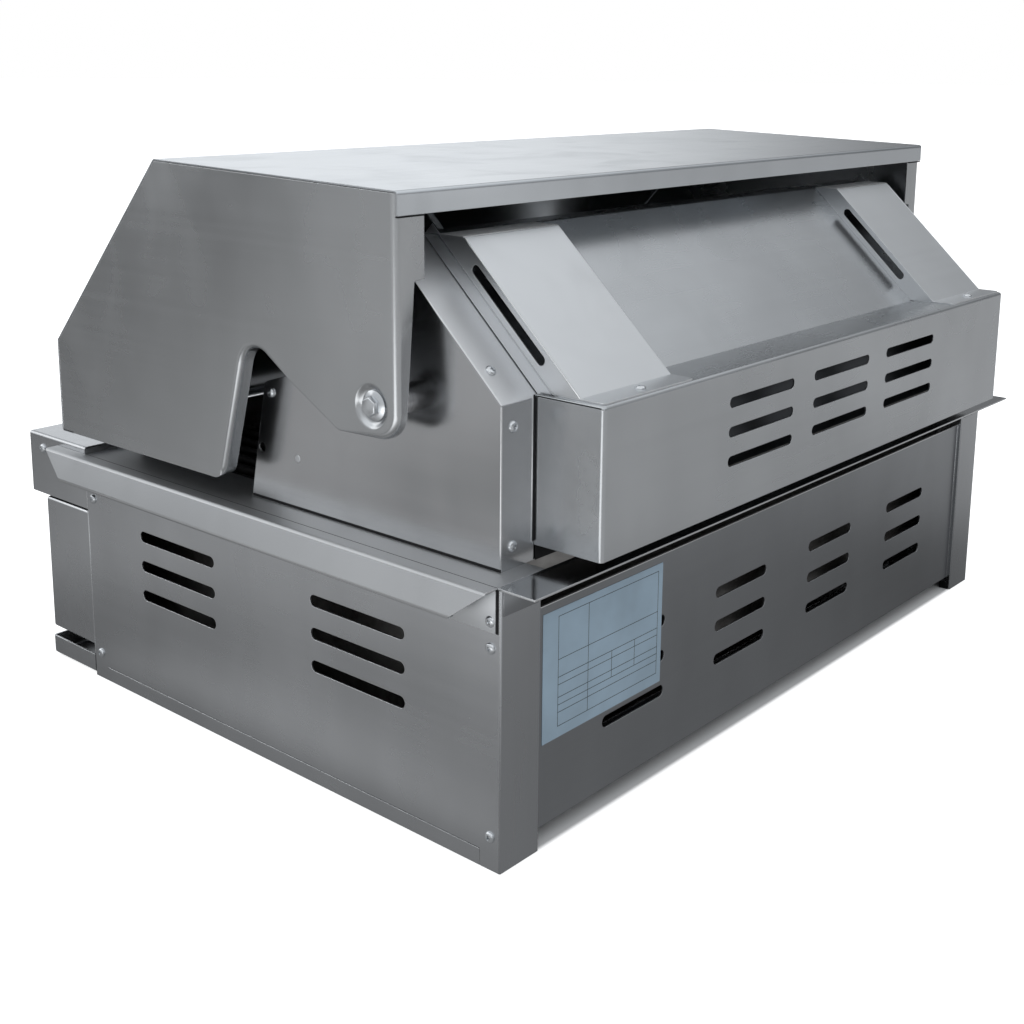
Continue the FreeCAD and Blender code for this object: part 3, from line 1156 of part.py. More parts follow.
# Pan-head screws
def screw(place, outward):
    """Make one pan-head screw with its head on a face and its shank inwards."""
    head = Part.makeCylinder(SCREW_HEAD, SCREW_HEAD_HEIGHT, place, outward)
    top = place + outward * SCREW_HEAD_HEIGHT
    rim = [e for e in head.Edges if len(e.Vertexes) == 1 and (e.Curve.Center - top).Length < NEAR]
    head = head.makeFillet(SCREW_HEAD_HEIGHT * SCREW_DOME, rim)
    middle = place + outward * (SCREW_HEAD_HEIGHT / 2)
    shank = Part.makeCylinder(SCREW_RADIUS, SCREW_LENGTH + SCREW_HEAD_HEIGHT / 2, middle, outward * -1)
    return head.fuse(shank).removeSplitter()


def screws():
    on_side = [V(half, -SCREW_EDGE, z) for z in side_screw_z]
    on_side += [V(half, -SIDE_DEPTH + SCREW_EDGE, z) for z in front_screw_z]
    on_side += [V(half, -cap_front + CAP_SCREW_BACK, cap_top - CAP_SCREW_DROP), lead_screw()]
    right = [screw(place, V(1, 0, 0)) for place in on_side]
    right += [screw(place, axis) for place, axis in wall_screws()]
    right.append(screw(cover_screw(), V(0, 0, 1)))
    keep("sheet_screws", *right, *[mirrored(s) for s in right])


def main():
    cabinet()
    flanges()
    front()
    firebox()
    upper_walls()
    rear_body()
    rear_burner()
    burners()
    grates()
    warming_rack()
    gas_train()
    light_switch()
    hood()
    handle()
    thermometer()
    hinge()
    screws()
    os.makedirs("parts", exist_ok=True)
    for name, shape in nodes.items():
        moved(shape, 0, -origin_y, 0).exportStep("parts/%s.step" % name)
        if not shape.isValid():
            print("not valid:", name)
    print(len(nodes), "nodes, origin shifted by", round(-origin_y, 3))


main()
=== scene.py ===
"""Dresses a built-in gas grill head: brushed sheet, pressed and turned details, a studio and a camera."""
import json
import logging
import math
from collections.abc import Iterable, Sequence
from dataclasses import dataclass
from enum import Enum

import bmesh
import bpy
from mathutils import Matrix, Vector


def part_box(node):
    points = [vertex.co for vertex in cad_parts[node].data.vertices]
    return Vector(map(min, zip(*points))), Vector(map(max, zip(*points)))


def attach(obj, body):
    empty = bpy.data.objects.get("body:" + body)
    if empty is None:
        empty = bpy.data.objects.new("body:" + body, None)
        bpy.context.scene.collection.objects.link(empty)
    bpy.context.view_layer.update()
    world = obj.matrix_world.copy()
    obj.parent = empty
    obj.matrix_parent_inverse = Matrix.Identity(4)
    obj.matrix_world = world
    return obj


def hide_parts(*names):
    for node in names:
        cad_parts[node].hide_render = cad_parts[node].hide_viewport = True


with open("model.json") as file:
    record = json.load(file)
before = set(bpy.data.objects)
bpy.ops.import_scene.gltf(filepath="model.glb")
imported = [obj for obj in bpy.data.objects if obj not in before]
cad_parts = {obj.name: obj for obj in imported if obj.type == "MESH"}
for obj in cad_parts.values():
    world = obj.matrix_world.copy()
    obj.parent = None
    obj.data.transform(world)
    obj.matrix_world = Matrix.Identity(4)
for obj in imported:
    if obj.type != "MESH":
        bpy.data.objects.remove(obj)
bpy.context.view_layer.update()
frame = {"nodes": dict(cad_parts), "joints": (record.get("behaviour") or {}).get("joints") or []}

MM = 0.001
LOG = logging.getLogger("grill")
Colour = tuple[float, float, float]
Point = tuple[float, float, float]
Profile = tuple[tuple[float, float], ...]


# Shader expressions
class Wire:
    """An output socket, with operators that add Math nodes."""

    def __init__(self, graph: "Graph", socket: bpy.types.NodeSocket) -> None:
        """Keep the socket and the graph that it belongs to."""
        self.graph = graph
        self.socket = socket

    def math(self, operation: str, *others: "Wire | float", swapped: bool = False) -> "Wire":
        """Add a Math node.

        Args:
            operation: The Math node's operation.
            others: The operands after this one.
            swapped: Whether this socket is the second operand.

        Returns:
            The node's value.
        """
        operands = [self, *others]
        if swapped:
            operands.reverse()
        return self.graph.node("ShaderNodeMath", {"operation": operation}, dict(enumerate(operands)))

    def __add__(self, other: "Wire | float") -> "Wire":
        """Add two values."""
        return self.math("ADD", other)

    def __sub__(self, other: "Wire | float") -> "Wire":
        """Subtract a value."""
        return self.math("SUBTRACT", other)

    def __rsub__(self, other: float) -> "Wire":
        """Subtract this value from a number."""
        return self.math("SUBTRACT", other, swapped=True)

    def __mul__(self, other: "Wire | float") -> "Wire":
        """Multiply two values."""
        return self.math("MULTIPLY", other)

    __radd__ = __add__
    __rmul__ = __mul__

    def band(self, low: float, high: float) -> "Wire":
        """Rise smoothly from 0 to 1 between two values.

        Args:
            low: The value that gives 0.
            high: The value that gives 1.

        Returns:
            The blended value.
        """
        settings = {"interpolation_type": "SMOOTHSTEP"}
        return self.graph.node("ShaderNodeMapRange", settings, {0: self, 1: low, 2: high, 3: 0.0, 4: 1.0})


class Graph:
    """The node tree of a material or of the surround."""

    def __init__(self, owner: bpy.types.Material | bpy.types.World) -> None:
        """Empty the owner's tree.

        Args:
            owner: The material or the world.
        """
        self.owner = owner
        owner.use_nodes = True
        self.tree = owner.node_tree
        self.tree.nodes.clear()

    @classmethod
    def of(cls, name: str) -> "Graph":
        """Start a new material."""
        return cls(bpy.data.materials.new(name))

    def node(self, kind: str, settings: dict | None = None, values: dict | None = None,
             out: int | str = 0) -> Wire:
        """Add any node.

        Args:
            kind: The node's type.
            settings: Attributes that are set first.
            values: Numbers or wires for its input sockets, by name or index.
            out: The output to return.

        Returns:
            That output.
        """
        made = self.tree.nodes.new(kind)
        for key, value in (settings or {}).items():
            setattr(made, key, value)
        for key, value in (values or {}).items():
            if isinstance(value, Wire):
                self.tree.links.new(value.socket, made.inputs[key])
            else:
                made.inputs[key].default_value = value
        return Wire(self, made.outputs[out])

    def place(self, scale: Point = (1.0, 1.0, 1.0), turn: Point = (0.0, 0.0, 0.0)) -> Wire:
        """Give object coordinates through a mapping.

        Args:
            scale: The pattern's counts per metre along each axis.
            turn: The pattern's turn about each axis.

        Returns:
            The mapped vector.
        """
        spot = self.node("ShaderNodeTexCoord", out="Object")
        return self.node("ShaderNodeMapping", values={"Vector": spot, "Rotation": turn, "Scale": scale})

    def noise(self, vector: Wire, detail: float = 2.0, roughness: float = 0.5,
              distortion: float = 0.0) -> Wire:
        """Give a noise value.

        Args:
            vector: The mapped place.
            detail: The number of octaves.
            roughness: The share of the finer octaves.
            distortion: How far the pattern is warped.

        Returns:
            The noise, around 0.5.
        """
        values = {"Vector": vector, "Scale": 1.0, "Detail": detail, "Roughness": roughness,
                  "Distortion": distortion}
        return self.node("ShaderNodeTexNoise", {}, values, "Fac")

    def mix(self, factor: Wire, low: "Colour | Wire", high: "Colour | Wire") -> Wire:
        """Mix two colours.

        Args:
            factor: The share of the second colour.
            low: The first colour.
            high: The second colour.

        Returns:
            The mixed colour.
        """
        pair = [end if isinstance(end, Wire) else (*end, 1.0) for end in (low, high)]
        settings = {"data_type": "RGBA", "clamp_factor": True}
        return self.node("ShaderNodeMix", settings, {0: factor, 6: pair[0], 7: pair[1]}, 2)

    def bump(self, height: Wire, depth: float, strength: float = 1.0, under: Wire | None = None) -> Wire:
        """Turn a height into a normal.

        Args:
            height: The height, from 0 to 1.
            depth: The depth of that range in metres.
            strength: The share of it that shows.
            under: A normal that this one is laid over.

        Returns:
            The normal.
        """
        values = {"Height": height, "Distance": depth, "Strength": strength}
        if under is not None:
            values["Normal"] = under
        return self.node("ShaderNodeBump", {}, values)

    def surface(self, values: dict) -> bpy.types.Material:
        """End the graph in a Principled shader.

        Args:
            values: Numbers, colours or wires for its sockets.

        Returns:
            The material.
        """
        ready = {key: (*v, 1.0) if isinstance(v, tuple) and len(v) == 3 else v for key, v in values.items()}
        return self.close(self.node("ShaderNodeBsdfPrincipled", {}, ready))

    def dot(self, vector: Wire, axis: "Point | Wire") -> Wire:
        """Measure a vector along an axis.

        Args:
            vector: The vector.
            axis: The axis, or another vector.

        Returns:
            Their dot product.
        """
        return self.node("ShaderNodeVectorMath", {"operation": "DOT_PRODUCT"}, {0: vector, 1: axis}, "Value")

    def close(self, shader: Wire, kind: str = "ShaderNodeOutputMaterial") -> bpy.types.ID:
        """Send a shader to the output.

        Args:
            shader: The shader.
            kind: The output node's type.

        Returns:
            The tree's owner.
        """
        end = self.tree.nodes.new(kind)
        self.tree.links.new(shader.socket, end.inputs["Surface"])
        return self.owner


# Finishes
class Grain(Enum):
    """The axis along which a sheet was brushed."""

    X = 0
    Y = 1
    Z = 2

    def stretch(self, across: float, along: float) -> Point:
        """Give a pattern's counts per metre, fine across the grain and long along it."""
        return tuple(along if axis == self.value else across for axis in range(3))


def shade(colour: Colour, share: float) -> Colour:
    """Scale a colour."""
    return tuple(min(1.0, part * share) for part in colour)


@dataclass(frozen=True)
class BrushedSheet:
    """Brushed stainless sheet with a fine grain, soft clouds, wiped patches and pale edges that are partly wear
    and partly painted highlight.
    """

    name: str
    grain: Grain
    tint: Colour = (0.56, 0.57, 0.585)
    roughness: float = 0.30
    streaks: float = 0.16
    clouds: float = 0.8
    waves: float = 0.5
    soot: float = 0.0
    # top scales the tint of faces that lie flat: above 1 it is painted light, below 1 painted shade.
    top: float = 1.0
    haze: float = 0.0
    edge: float = 0.7 * MM
    worn_and_highlight_tint: Colour = (0.86, 0.87, 0.88)
    soot_tint: Colour = (0.055, 0.040, 0.030)

    def make(self) -> bpy.types.Material:
        """Build the material.

        Returns:
            The material.
        """
        g = Graph.of(self.name)
        streak = g.noise(g.place(self.grain.stretch(150.0, 1.6)), 1.0, 0.5)
        cloud = g.noise(g.place((4.6, 4.6, 4.6)), 3.0, 0.5, 0.4)
        smear = g.noise(g.place((13.0, 17.0, 9.0), (0.4, 0.7, 0.3)), 2.0, 0.5, 0.8).band(0.45, 0.85)
        wipe = g.noise(g.place((15.0, 15.0, 5.0), (0.5, 0.3, 0.2)), 2.0, 0.5, 0.3) - 0.5
        tone = 0.5 + (streak - 0.5) * self.streaks + (cloud - 0.5 + wipe * 0.7) * self.clouds - smear * 0.12
        colour = g.mix(tone, shade(self.tint, 0.84), shade(self.tint, 1.16))
        rough = self.roughness + (cloud - 0.5) * (0.16 * self.clouds) + smear * 0.05 + (streak - 0.5) * 0.04
        if self.soot > 0.0:
            film = g.noise(g.place((9.0, 9.0, 14.0)), 5.0, 0.62, 0.6).band(0.36, 0.72) * self.soot
            colour = g.mix(film, colour, self.soot_tint)
            rough = rough + film * 0.25
        flat = g.node("ShaderNodeNewGeometry", out="Normal")
        # Faces that lie flat get the tint scaled by top: painted light where top is above 1, painted shade where
        # it is below; haze makes them rougher.
        if self.haze > 0.0:
            lying = g.dot(flat, (0.0, 0.0, 1.0)).band(0.30, 0.60)
            colour = g.mix(lying, colour, shade(self.tint, self.top))
            rough = rough + lying * self.haze
        # Rounded edges are mixed halfway to a pale tint: partly wear, partly a painted highlight along the
        # bends.
        rounded = g.node("ShaderNodeBevel", {"samples": 4}, {"Radius": self.edge})
        bend = (1.0 - g.dot(flat, rounded)).band(0.01, 0.22)
        colour = g.mix(bend * 0.5, colour, self.worn_and_highlight_tint)
        wavy = g.bump(g.noise(g.place((3.1, 3.1, 3.1)), 1.0), 1.6 * MM * self.waves, 1.0, rounded)
        return g.surface({"Base Color": colour, "Roughness": rough, "Metallic": 1.0, "Normal": wavy})


@dataclass(frozen=True)
class PlainMetal:
    """A turned, plated or drawn metal with fine tool marks."""

    name: str
    tint: Colour
    roughness: float
    marks: float = 0.3
    pits: float = 300.0

    def make(self) -> bpy.types.Material:
        """Build the material.

        Returns:
            The material.
        """
        g = Graph.of(self.name)
        cloud = g.noise(g.place((28.0, 28.0, 28.0)), 3.0, 0.6)
        pits = g.noise(g.place((self.pits, self.pits, self.pits)), 2.0)
        colour = g.mix(0.5 + (cloud - 0.5) * self.marks, shade(self.tint, 0.82), shade(self.tint, 1.16))
        rough = self.roughness + (cloud - 0.5) * (0.30 * self.marks) + (pits - 0.5) * (0.20 * self.marks)
        normal = g.bump(pits, 0.00002, self.marks)
        return g.surface({"Base Color": colour, "Roughness": rough, "Metallic": 1.0, "Normal": normal})


@dataclass(frozen=True)
class HeatedSteel:
    """Steel that has been hot: straw and blue tints under a dry film."""

    name: str
    roughness: float = 0.42

    def make(self) -> bpy.types.Material:
        """Build the material.

        Returns:
            The material.
        """
        g = Graph.of(self.name)
        heat = g.noise(g.place((7.0, 3.0, 7.0)), 3.0, 0.55, 0.5)
        film = g.noise(g.place((60.0, 60.0, 60.0)), 4.0, 0.65)
        colour = g.mix(heat.band(0.35, 0.55), (0.40, 0.385, 0.36), (0.33, 0.24, 0.14))
        colour = g.mix(heat.band(0.55, 0.72), colour, (0.14, 0.15, 0.21))
        colour = g.mix(film.band(0.5, 0.8) * 0.7, colour, (0.08, 0.07, 0.065))
        rough = self.roughness + (film - 0.5) * 0.35
        return g.surface({"Base Color": colour, "Roughness": rough, "Metallic": 0.9,
                          "Normal": g.bump(film, 0.00006, 0.5)})


@dataclass(frozen=True)
class Moulded:
    """A matt moulding, casting or rubber with a fine surface."""

    name: str
    tint: Colour
    roughness: float
    grit: float = 900.0
    depth: float = 0.00005
    metallic: float = 0.0

    def make(self) -> bpy.types.Material:
        """Build the material.

        Returns:
            The material.
        """
        g = Graph.of(self.name)
        cloud = g.noise(g.place((18.0, 18.0, 18.0)), 3.0, 0.6)
        grit = g.noise(g.place((self.grit, self.grit, self.grit)), 2.0)
        colour = g.mix(cloud, shade(self.tint, 0.78), shade(self.tint, 1.25))
        rough = self.roughness + (cloud - 0.5) * 0.18
        return g.surface({"Base Color": colour, "Roughness": rough, "Metallic": self.metallic,
                          "Normal": g.bump(grit, self.depth)})


@dataclass(frozen=True)
class PiercedCeramic:
    """A burner's ceramic tile with rows of small flame holes, drawn as a bump with painted shade inside each
    hole.
    """

    name: str
    pitch: float = 0.0042

    def make(self) -> bpy.types.Material:
        """Build the material.

        Returns:
            The material.
        """
        g = Graph.of(self.name)
        rate = 1.0 / self.pitch
        cells = g.node("ShaderNodeTexVoronoi", {"voronoi_dimensions": "3D"},
                       {"Vector": g.place((rate, 0.0, rate)), "Scale": 1.0, "Randomness": 0.0}, "Distance")
        web = cells.band(0.20, 0.34)
        bake = g.noise(g.place((22.0, 22.0, 22.0)), 4.0, 0.6)
        body = g.mix(bake, (0.62, 0.50, 0.38), (0.84, 0.78, 0.68))
        # Near-black inside the holes: painted shade for their depth.
        colour = g.mix(web, (0.05, 0.035, 0.03), body)
        return g.surface({"Base Color": colour, "Roughness": 0.9, "Normal": g.bump(web, 0.0015, 0.8)})


@dataclass(frozen=True)
class DialGlass:
    """Thin clear glass that only adds a reflection."""

    name: str

    def make(self) -> bpy.types.Material:
        """Build the material.

        Returns:
            The material.
        """
        g = Graph.of(self.name)
        clear = g.node("ShaderNodeBsdfTransparent")
        gloss = g.node("ShaderNodeBsdfGlossy", {}, {"Roughness": 0.04})
        facing_away = g.node("ShaderNodeLayerWeight", {}, {"Blend": 0.5}, "Facing")
        share = 0.04 + facing_away.math("POWER", 5.0) * 0.6
        return g.close(g.node("ShaderNodeMixShader", {}, {0: share, 1: clear, 2: gloss}))


class Finish(Enum):
    """Every finish on the grill."""

    SIDE = BrushedSheet("side_sheet", Grain.Y, (0.56, 0.57, 0.585), 0.25)
    POST = BrushedSheet("post_sheet", Grain.Z, (0.45, 0.46, 0.475), 0.26)
    # The rear sheet's darker tint is painted shade, for the rear panel under the overhang of the housing and
    # ledge.
    REAR = BrushedSheet("rear_sheet_painted_shade", Grain.X, (0.33, 0.34, 0.355), 0.30)
    # The flange's top of 0.85 paints shade on its lying deck; the wall's top of 1.3 paints light on the wall's
    # lying faces.
    FLANGE = BrushedSheet("flange_sheet", Grain.Y, (0.64, 0.65, 0.66), 0.20, 0.08, 0.4, 0.25, top=0.85,
                          haze=0.30)
    LEDGE = BrushedSheet("rear_ledge_sheet", Grain.X, (0.64, 0.65, 0.66), 0.14, 0.06, 0.3, 0.25)
    FRONT = BrushedSheet("front_sheet", Grain.X, (0.57, 0.58, 0.595), 0.25)
    WALL = BrushedSheet("wall_sheet", Grain.Y, (0.55, 0.555, 0.565), 0.22, 0.12, 0.9, top=1.3, haze=0.22)
    BACK = BrushedSheet("back_sheet", Grain.X, (0.54, 0.555, 0.57), 0.26, 0.14)
    # The covers' tint, paler than the rear shield's at the same slope, is painted light.
    COVER = BrushedSheet("cover_sheet_painted_light", Grain.X, (0.72, 0.735, 0.75), 0.34, 0.05, 0.35)
    HOOD = BrushedSheet("hood_top_sheet", Grain.X, (0.62, 0.645, 0.67), 0.20, 0.06, 0.5, 1.0)
    HOOD_SIDE = BrushedSheet("hood_end_sheet", Grain.Y, (0.51, 0.52, 0.53), 0.25, 0.12, 0.9)
    INNER = BrushedSheet("inner_sheet", Grain.X, (0.44, 0.43, 0.42), 0.38, soot=0.75)
    BURNER = HeatedSteel("burner_steel")
    BOX = PlainMetal("burner_box_steel", (0.15, 0.158, 0.172), 0.42)
    IRON = Moulded("cast_iron", (0.035, 0.034, 0.034), 0.58, 420.0, 0.00018)
    TILE = PiercedCeramic("burner_tile")
    CHROME = PlainMetal("rack_chrome", (0.66, 0.67, 0.69), 0.16)
    ZINC = PlainMetal("screw_zinc", (0.70, 0.72, 0.74), 0.24)
    BRASS = PlainMetal("valve_brass", (0.70, 0.50, 0.24), 0.32)
    HANDLE = BrushedSheet("handle_steel", Grain.X, (0.62, 0.63, 0.645), 0.22, waves=0.0)
    KNOB = PlainMetal("knob_metal", (0.60, 0.61, 0.625), 0.26, 0.25)
    BEZEL = PlainMetal("bezel_chrome", (0.70, 0.71, 0.73), 0.12, 0.2)
    CASE = PlainMetal("dial_steel", (0.64, 0.65, 0.66), 0.22, 0.25)
    NEEDLE = Moulded("needle_red", (0.50, 0.03, 0.025), 0.35)
    ENAMEL = Moulded("dial_enamel", (0.80, 0.80, 0.77), 0.40, 1500.0, 0.00001)
    INK = Moulded("dial_ink", (0.02, 0.02, 0.022), 0.5)
    FOIL = Moulded("plate_foil", (0.45, 0.59, 0.71), 0.38, 700.0, 0.00002, 0.25)
    RUBBER = Moulded("bumper_rubber", (0.018, 0.018, 0.018), 0.75)
    PLASTIC = Moulded("switch_plastic", (0.016, 0.016, 0.018), 0.42, 1800.0)
    BUSH = PlainMetal("bush_steel", (0.52, 0.52, 0.53), 0.3)
    GLASS = DialGlass("dial_glass")
    # Bright strips along hems and folds: painted highlight.
    HEM_HIGHLIGHT = PlainMetal("hem_painted_highlight", (0.80, 0.81, 0.82), 0.22)
    TAB = PlainMetal("tab_steel", (0.70, 0.715, 0.73), 0.46, 0.15)
    # Pale, rough strips along the flue covers' crests: painted highlight.
    CREST_HIGHLIGHT = PlainMetal("crest_painted_highlight", (0.90, 0.915, 0.93), 0.64, 0.12)
    # Near-black strips put where the sheets leave gaps: painted shade.
    GAP_SHADE = Moulded("gap_painted_shade", (0.006, 0.006, 0.007), 0.9)


class Palette:
    """The materials made so far, one per finish."""

    def __init__(self) -> None:
        """Start empty."""
        self.made: dict[Finish, bpy.types.Material] = {}

    def __getitem__(self, finish: Finish) -> bpy.types.Material:
        """Give a finish's material, made at its first use.

        Args:
            finish: The finish.

        Returns:
            Its material.
        """
        if finish not in self.made:
            self.made[finish] = finish.value.make()
        return self.made[finish]

    def dress(self, finish: Finish, *nodes: str) -> None:
        """Give CAD nodes a finish.

        Args:
            finish: The finish.
            nodes: The nodes' names.
        """
        for name in nodes:
            for slot in frame["nodes"][name].material_slots:
                slot.material = self[finish]


# Meshes
class Side(Enum):
    """The two sides of the grill, with the sign of their x."""

    RIGHT = 1
    LEFT = -1

    def span(self, near: float, far: float) -> tuple[float, float]:
        """Give two x of the right side for this side, in rising order."""
        return tuple(sorted((near * self.value, far * self.value)))


def metres(profile: Profile) -> list[tuple[float, float]]:
    """Turn a profile's millimetres into metres."""
    return [(radius * MM, height * MM) for radius, height in profile]


def picked(geometry: Iterable[object], kind: type) -> list:
    """Keep one kind of element from an operator's result."""
    return [item for item in geometry if isinstance(item, kind)]


def edges_of(verts: Iterable[bmesh.types.BMVert]) -> list[bmesh.types.BMEdge]:
    """Give the edges that touch some points."""
    return list({edge for vert in verts for edge in vert.link_edges})


class Body:
    """A bmesh that becomes one piece at the origin."""

    def __init__(self) -> None:
        """Start an empty mesh."""
        self.bm = bmesh.new()

    def lathe(self, profile: Sequence[tuple[float, float]], steps: int, place: Matrix) -> None:
        """Spin a profile about an axis.

        Args:
            profile: Radius and height of each point, from one end to the other.
            steps: The number of faces round.
            place: Takes the local Z axis to the real one.
        """
        verts = [self.bm.verts.new((radius, 0.0, height)) for radius, height in profile]
        edges = [self.bm.edges.new(pair) for pair in zip(verts, verts[1:])]
        before = set(self.bm.verts) - set(verts)
        bmesh.ops.spin(self.bm, geom=verts + edges, cent=(0, 0, 0), axis=(0, 0, 1), dvec=(0, 0, 0),
                       angle=math.tau, steps=steps, use_merge=True)
        bmesh.ops.remove_doubles(self.bm, verts=[v for v in self.bm.verts if v not in before], dist=1e-7)
        self.settle(before, place)

    def settle(self, before: set[bmesh.types.BMVert], place: Matrix) -> None:
        """Turn the faces of the new points outwards and move them to their place.

        Args:
            before: The points that were there already.
            place: The transform.
        """
        made = [v for v in self.bm.verts if v not in before]
        bmesh.ops.recalc_face_normals(self.bm, faces=list({f for v in made for f in v.link_faces}))
        bmesh.ops.transform(self.bm, matrix=place, verts=made)

    def block(self, low: Sequence[float], high: Sequence[float], bevel: float = 0.0, segments: int = 2,
              place: Matrix | None = None) -> None:
        """Add a box with rounded edges.

        Args:
            low: Its lowest corner.
            high: Its highest corner.
            bevel: The width of the round.
            segments: The number of faces in the round.
            place: A transform that is applied last.
        """
        low, high = Vector(low), Vector(high)
        before = set(self.bm.verts)
        matrix = Matrix.Translation((low + high) / 2) @ Matrix.Diagonal((*(high - low), 1.0))
        made = bmesh.ops.create_cube(self.bm, size=1.0, matrix=matrix)["verts"]
        if bevel > 0.0:
            bmesh.ops.bevel(self.bm, geom=edges_of(made), affect="EDGES", offset=bevel, segments=segments,
                            profile=0.5, material=-1)
        if place is not None:
            bmesh.ops.transform(self.bm, matrix=place, verts=[v for v in self.bm.verts if v not in before])

    def piece(self, name: str, material: bpy.types.Material, body: str, slot: str,
              replaces: Iterable[str] = (), smooth: float = 35.0) -> bpy.types.Object:
        """Make the piece.

        Args:
            name: The piece's name.
            material: Its material.
            body: The body that it rides on.
            slot: The record's material slot; not used.
            replaces: CAD nodes that it stands for.
            smooth: Edges sharper than this, in degrees, stay sharp.

        Returns:
            The piece's object.
        """
        mesh = bpy.data.meshes.new(name)
        self.bm.to_mesh(mesh)
        self.bm.free()
        mesh.polygons.foreach_set("use_smooth", [True] * len(mesh.polygons))
        mesh.set_sharp_from_angle(angle=math.radians(smooth))
        mesh.materials.append(material)
        made = bpy.data.objects.new(name, mesh)
        bpy.context.scene.collection.objects.link(made)
        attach(made, body)
        if replaces:
            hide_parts(*replaces)
        LOG.info("%s: %d faces on %s", name, len(mesh.polygons), body)
        return made


def facing(place: Point, outward: Point) -> Matrix:
    """Give the matrix that stands local Z on a place, pointing outwards."""
    return Matrix.Translation(place) @ Vector(outward).to_track_quat("Z", "Y").to_matrix().to_4x4()


# Fasteners
@dataclass
class Fasteners:
    """Pan-head cross screws and the two hinge bolts."""

    palette: Palette
    head: float = 4.4 * MM
    rise: float = 2.3 * MM
    facets: int = 24
    dome: Profile = ((1.0, 0.22), (0.94, 0.50), (0.80, 0.78), (0.62, 0.95))
    arm: float = 1.9 * MM
    arm_half: float = 0.42 * MM
    recess: float = 1.4 * MM
    recess_taper: float = 0.62
    tip_reach: float = 4.2 * MM
    rim_width: float = 0.15 * MM
    twist: float = 1.9
    hexagon: float = 13.0 * MM
    hex_foot: float = 1.9 * MM
    hex_rise: float = 4.6 * MM
    hex_round: float = 0.9 * MM
    bolt_proud: float = 6.8 * MM
    flange: Profile = ((0.0, 0.0), (11.5, 0.0), (11.5, 0.7), (10.4, 1.2), (8.3, 1.9), (7.2, 2.2), (0.0, 2.2))
    shank: Profile = ((0.0, -36.0), (3.4, -36.0), (4.0, -35.4), (4.0, 0.5))

    def make(self) -> None:
        """Replace the CAD fasteners."""
        self.screws()
        self.bolts()

    def screw_places(self) -> list[tuple[Vector, Vector]]:
        """Find each screw's seat and outward direction from the CAD screws.

        Returns:
            Pairs of seat and direction.
        """
        bm = bmesh.new()
        bm.from_mesh(frame["nodes"]["sheet_screws"].data)
        bmesh.ops.remove_doubles(bm, verts=bm.verts, dist=1e-6)
        left = set(bm.verts)
        places = []
        while left:
            reached, queue = set(), [min(left, key=lambda v: v.index)]
            while queue:
                vert = queue.pop()
                if vert not in reached:
                    reached.add(vert)
                    queue += [edge.other_vert(vert) for edge in vert.link_edges]
            left -= reached
            places.append(self.seat([vert.co.copy() for vert in reached]))
        bm.free()
        return places

    def seat(self, points: list[Vector]) -> tuple[Vector, Vector]:
        """Find one screw's seat and direction.

        Args:
            points: The screw's own points.

        Returns:
            The middle of the head's seat, and the direction in which the head points.
        """
        middle = sum(points, Vector()) / len(points)
        tip = max(points, key=lambda p: (p - middle).length)
        ring = [p for p in points if (p - tip).length < self.tip_reach]
        end = sum(ring, Vector()) / len(ring)
        axis = (middle - end).normalized()
        spread = [(p - end).cross(axis).length for p in points]
        rim = [p for p, reach in zip(points, spread) if reach > max(spread) - self.rim_width]
        outward = (sum(rim, Vector()) / len(rim) - end).normalized()
        low = min((p - end).dot(outward) for p in rim)
        return end + outward * low, outward

    def cross_head(self, body: Body, place: Matrix) -> None:
        """Add one domed head with a cross recess.

        Args:
            body: The mesh that takes it.
            place: Stands the head on its seat.
        """
        bm = body.bm
        before = set(bm.verts)
        edges = edges_of(bmesh.ops.create_circle(bm, segments=self.facets, radius=self.head)["verts"])
        for width, height in self.dome:
            edges = picked(bmesh.ops.extrude_edge_only(bm, edges=edges)["geom"], bmesh.types.BMEdge)
            for vert in {v for e in edges for v in e.verts}:
                flat = vert.co.xy.normalized() * (self.head * width)
                vert.co = (flat.x, flat.y, self.rise * height)
        corners = ((self.arm, -self.arm_half), (self.arm, self.arm_half), (self.arm_half, self.arm_half))
        cross = []
        for quarter in range(4):
            spin = Matrix.Rotation(quarter * math.pi / 2, 3, "Z")
            cross += [bm.verts.new(spin @ Vector((x, y, self.rise))) for x, y in corners]
        loop = [bm.edges.new(pair) for pair in zip(cross, cross[1:] + cross[:1])]
        bmesh.ops.bridge_loops(bm, edges=edges + loop)
        sunk = bmesh.ops.extrude_edge_only(bm, edges=loop)["geom"]
        verts = picked(sunk, bmesh.types.BMVert)
        bmesh.ops.scale(bm, vec=(self.recess_taper, self.recess_taper, 1.0), verts=verts)
        bmesh.ops.translate(bm, vec=(0, 0, -self.recess), verts=verts)
        bmesh.ops.edgeloop_fill(bm, edges=picked(sunk, bmesh.types.BMEdge))
        body.settle(before, place)

    def screws(self) -> None:
        """Replace the CAD screws, each with its cross turned another way."""
        body = Body()
        for index, (seat, outward) in enumerate(self.screw_places()):
            turn = Matrix.Rotation(index * self.twist, 4, "Z")
            self.cross_head(body, facing(seat, outward) @ turn)
        body.piece("cross_screws", self.palette[Finish.ZINC], "cabinet", "fastener_zinc", ["sheet_screws"])

    def bolts(self) -> None:
        """Replace the hinge bolts with flanged hexagon bolts."""
        body = Body()
        low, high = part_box("pivot_bolts")
        middle = (low + high) / 2
        for side in Side:
            place = facing((side.value * (high.x - self.bolt_proud), middle.y, middle.z), (side.value, 0, 0))
            body.lathe(metres(self.flange), 40, place)
            body.lathe(metres(self.shank), 24, place)
            self.hex_head(body, place)
        body.piece("hinge_bolts", self.palette[Finish.ZINC], "cabinet", "fastener_zinc", ["pivot_bolts"],
                   smooth=40.0)

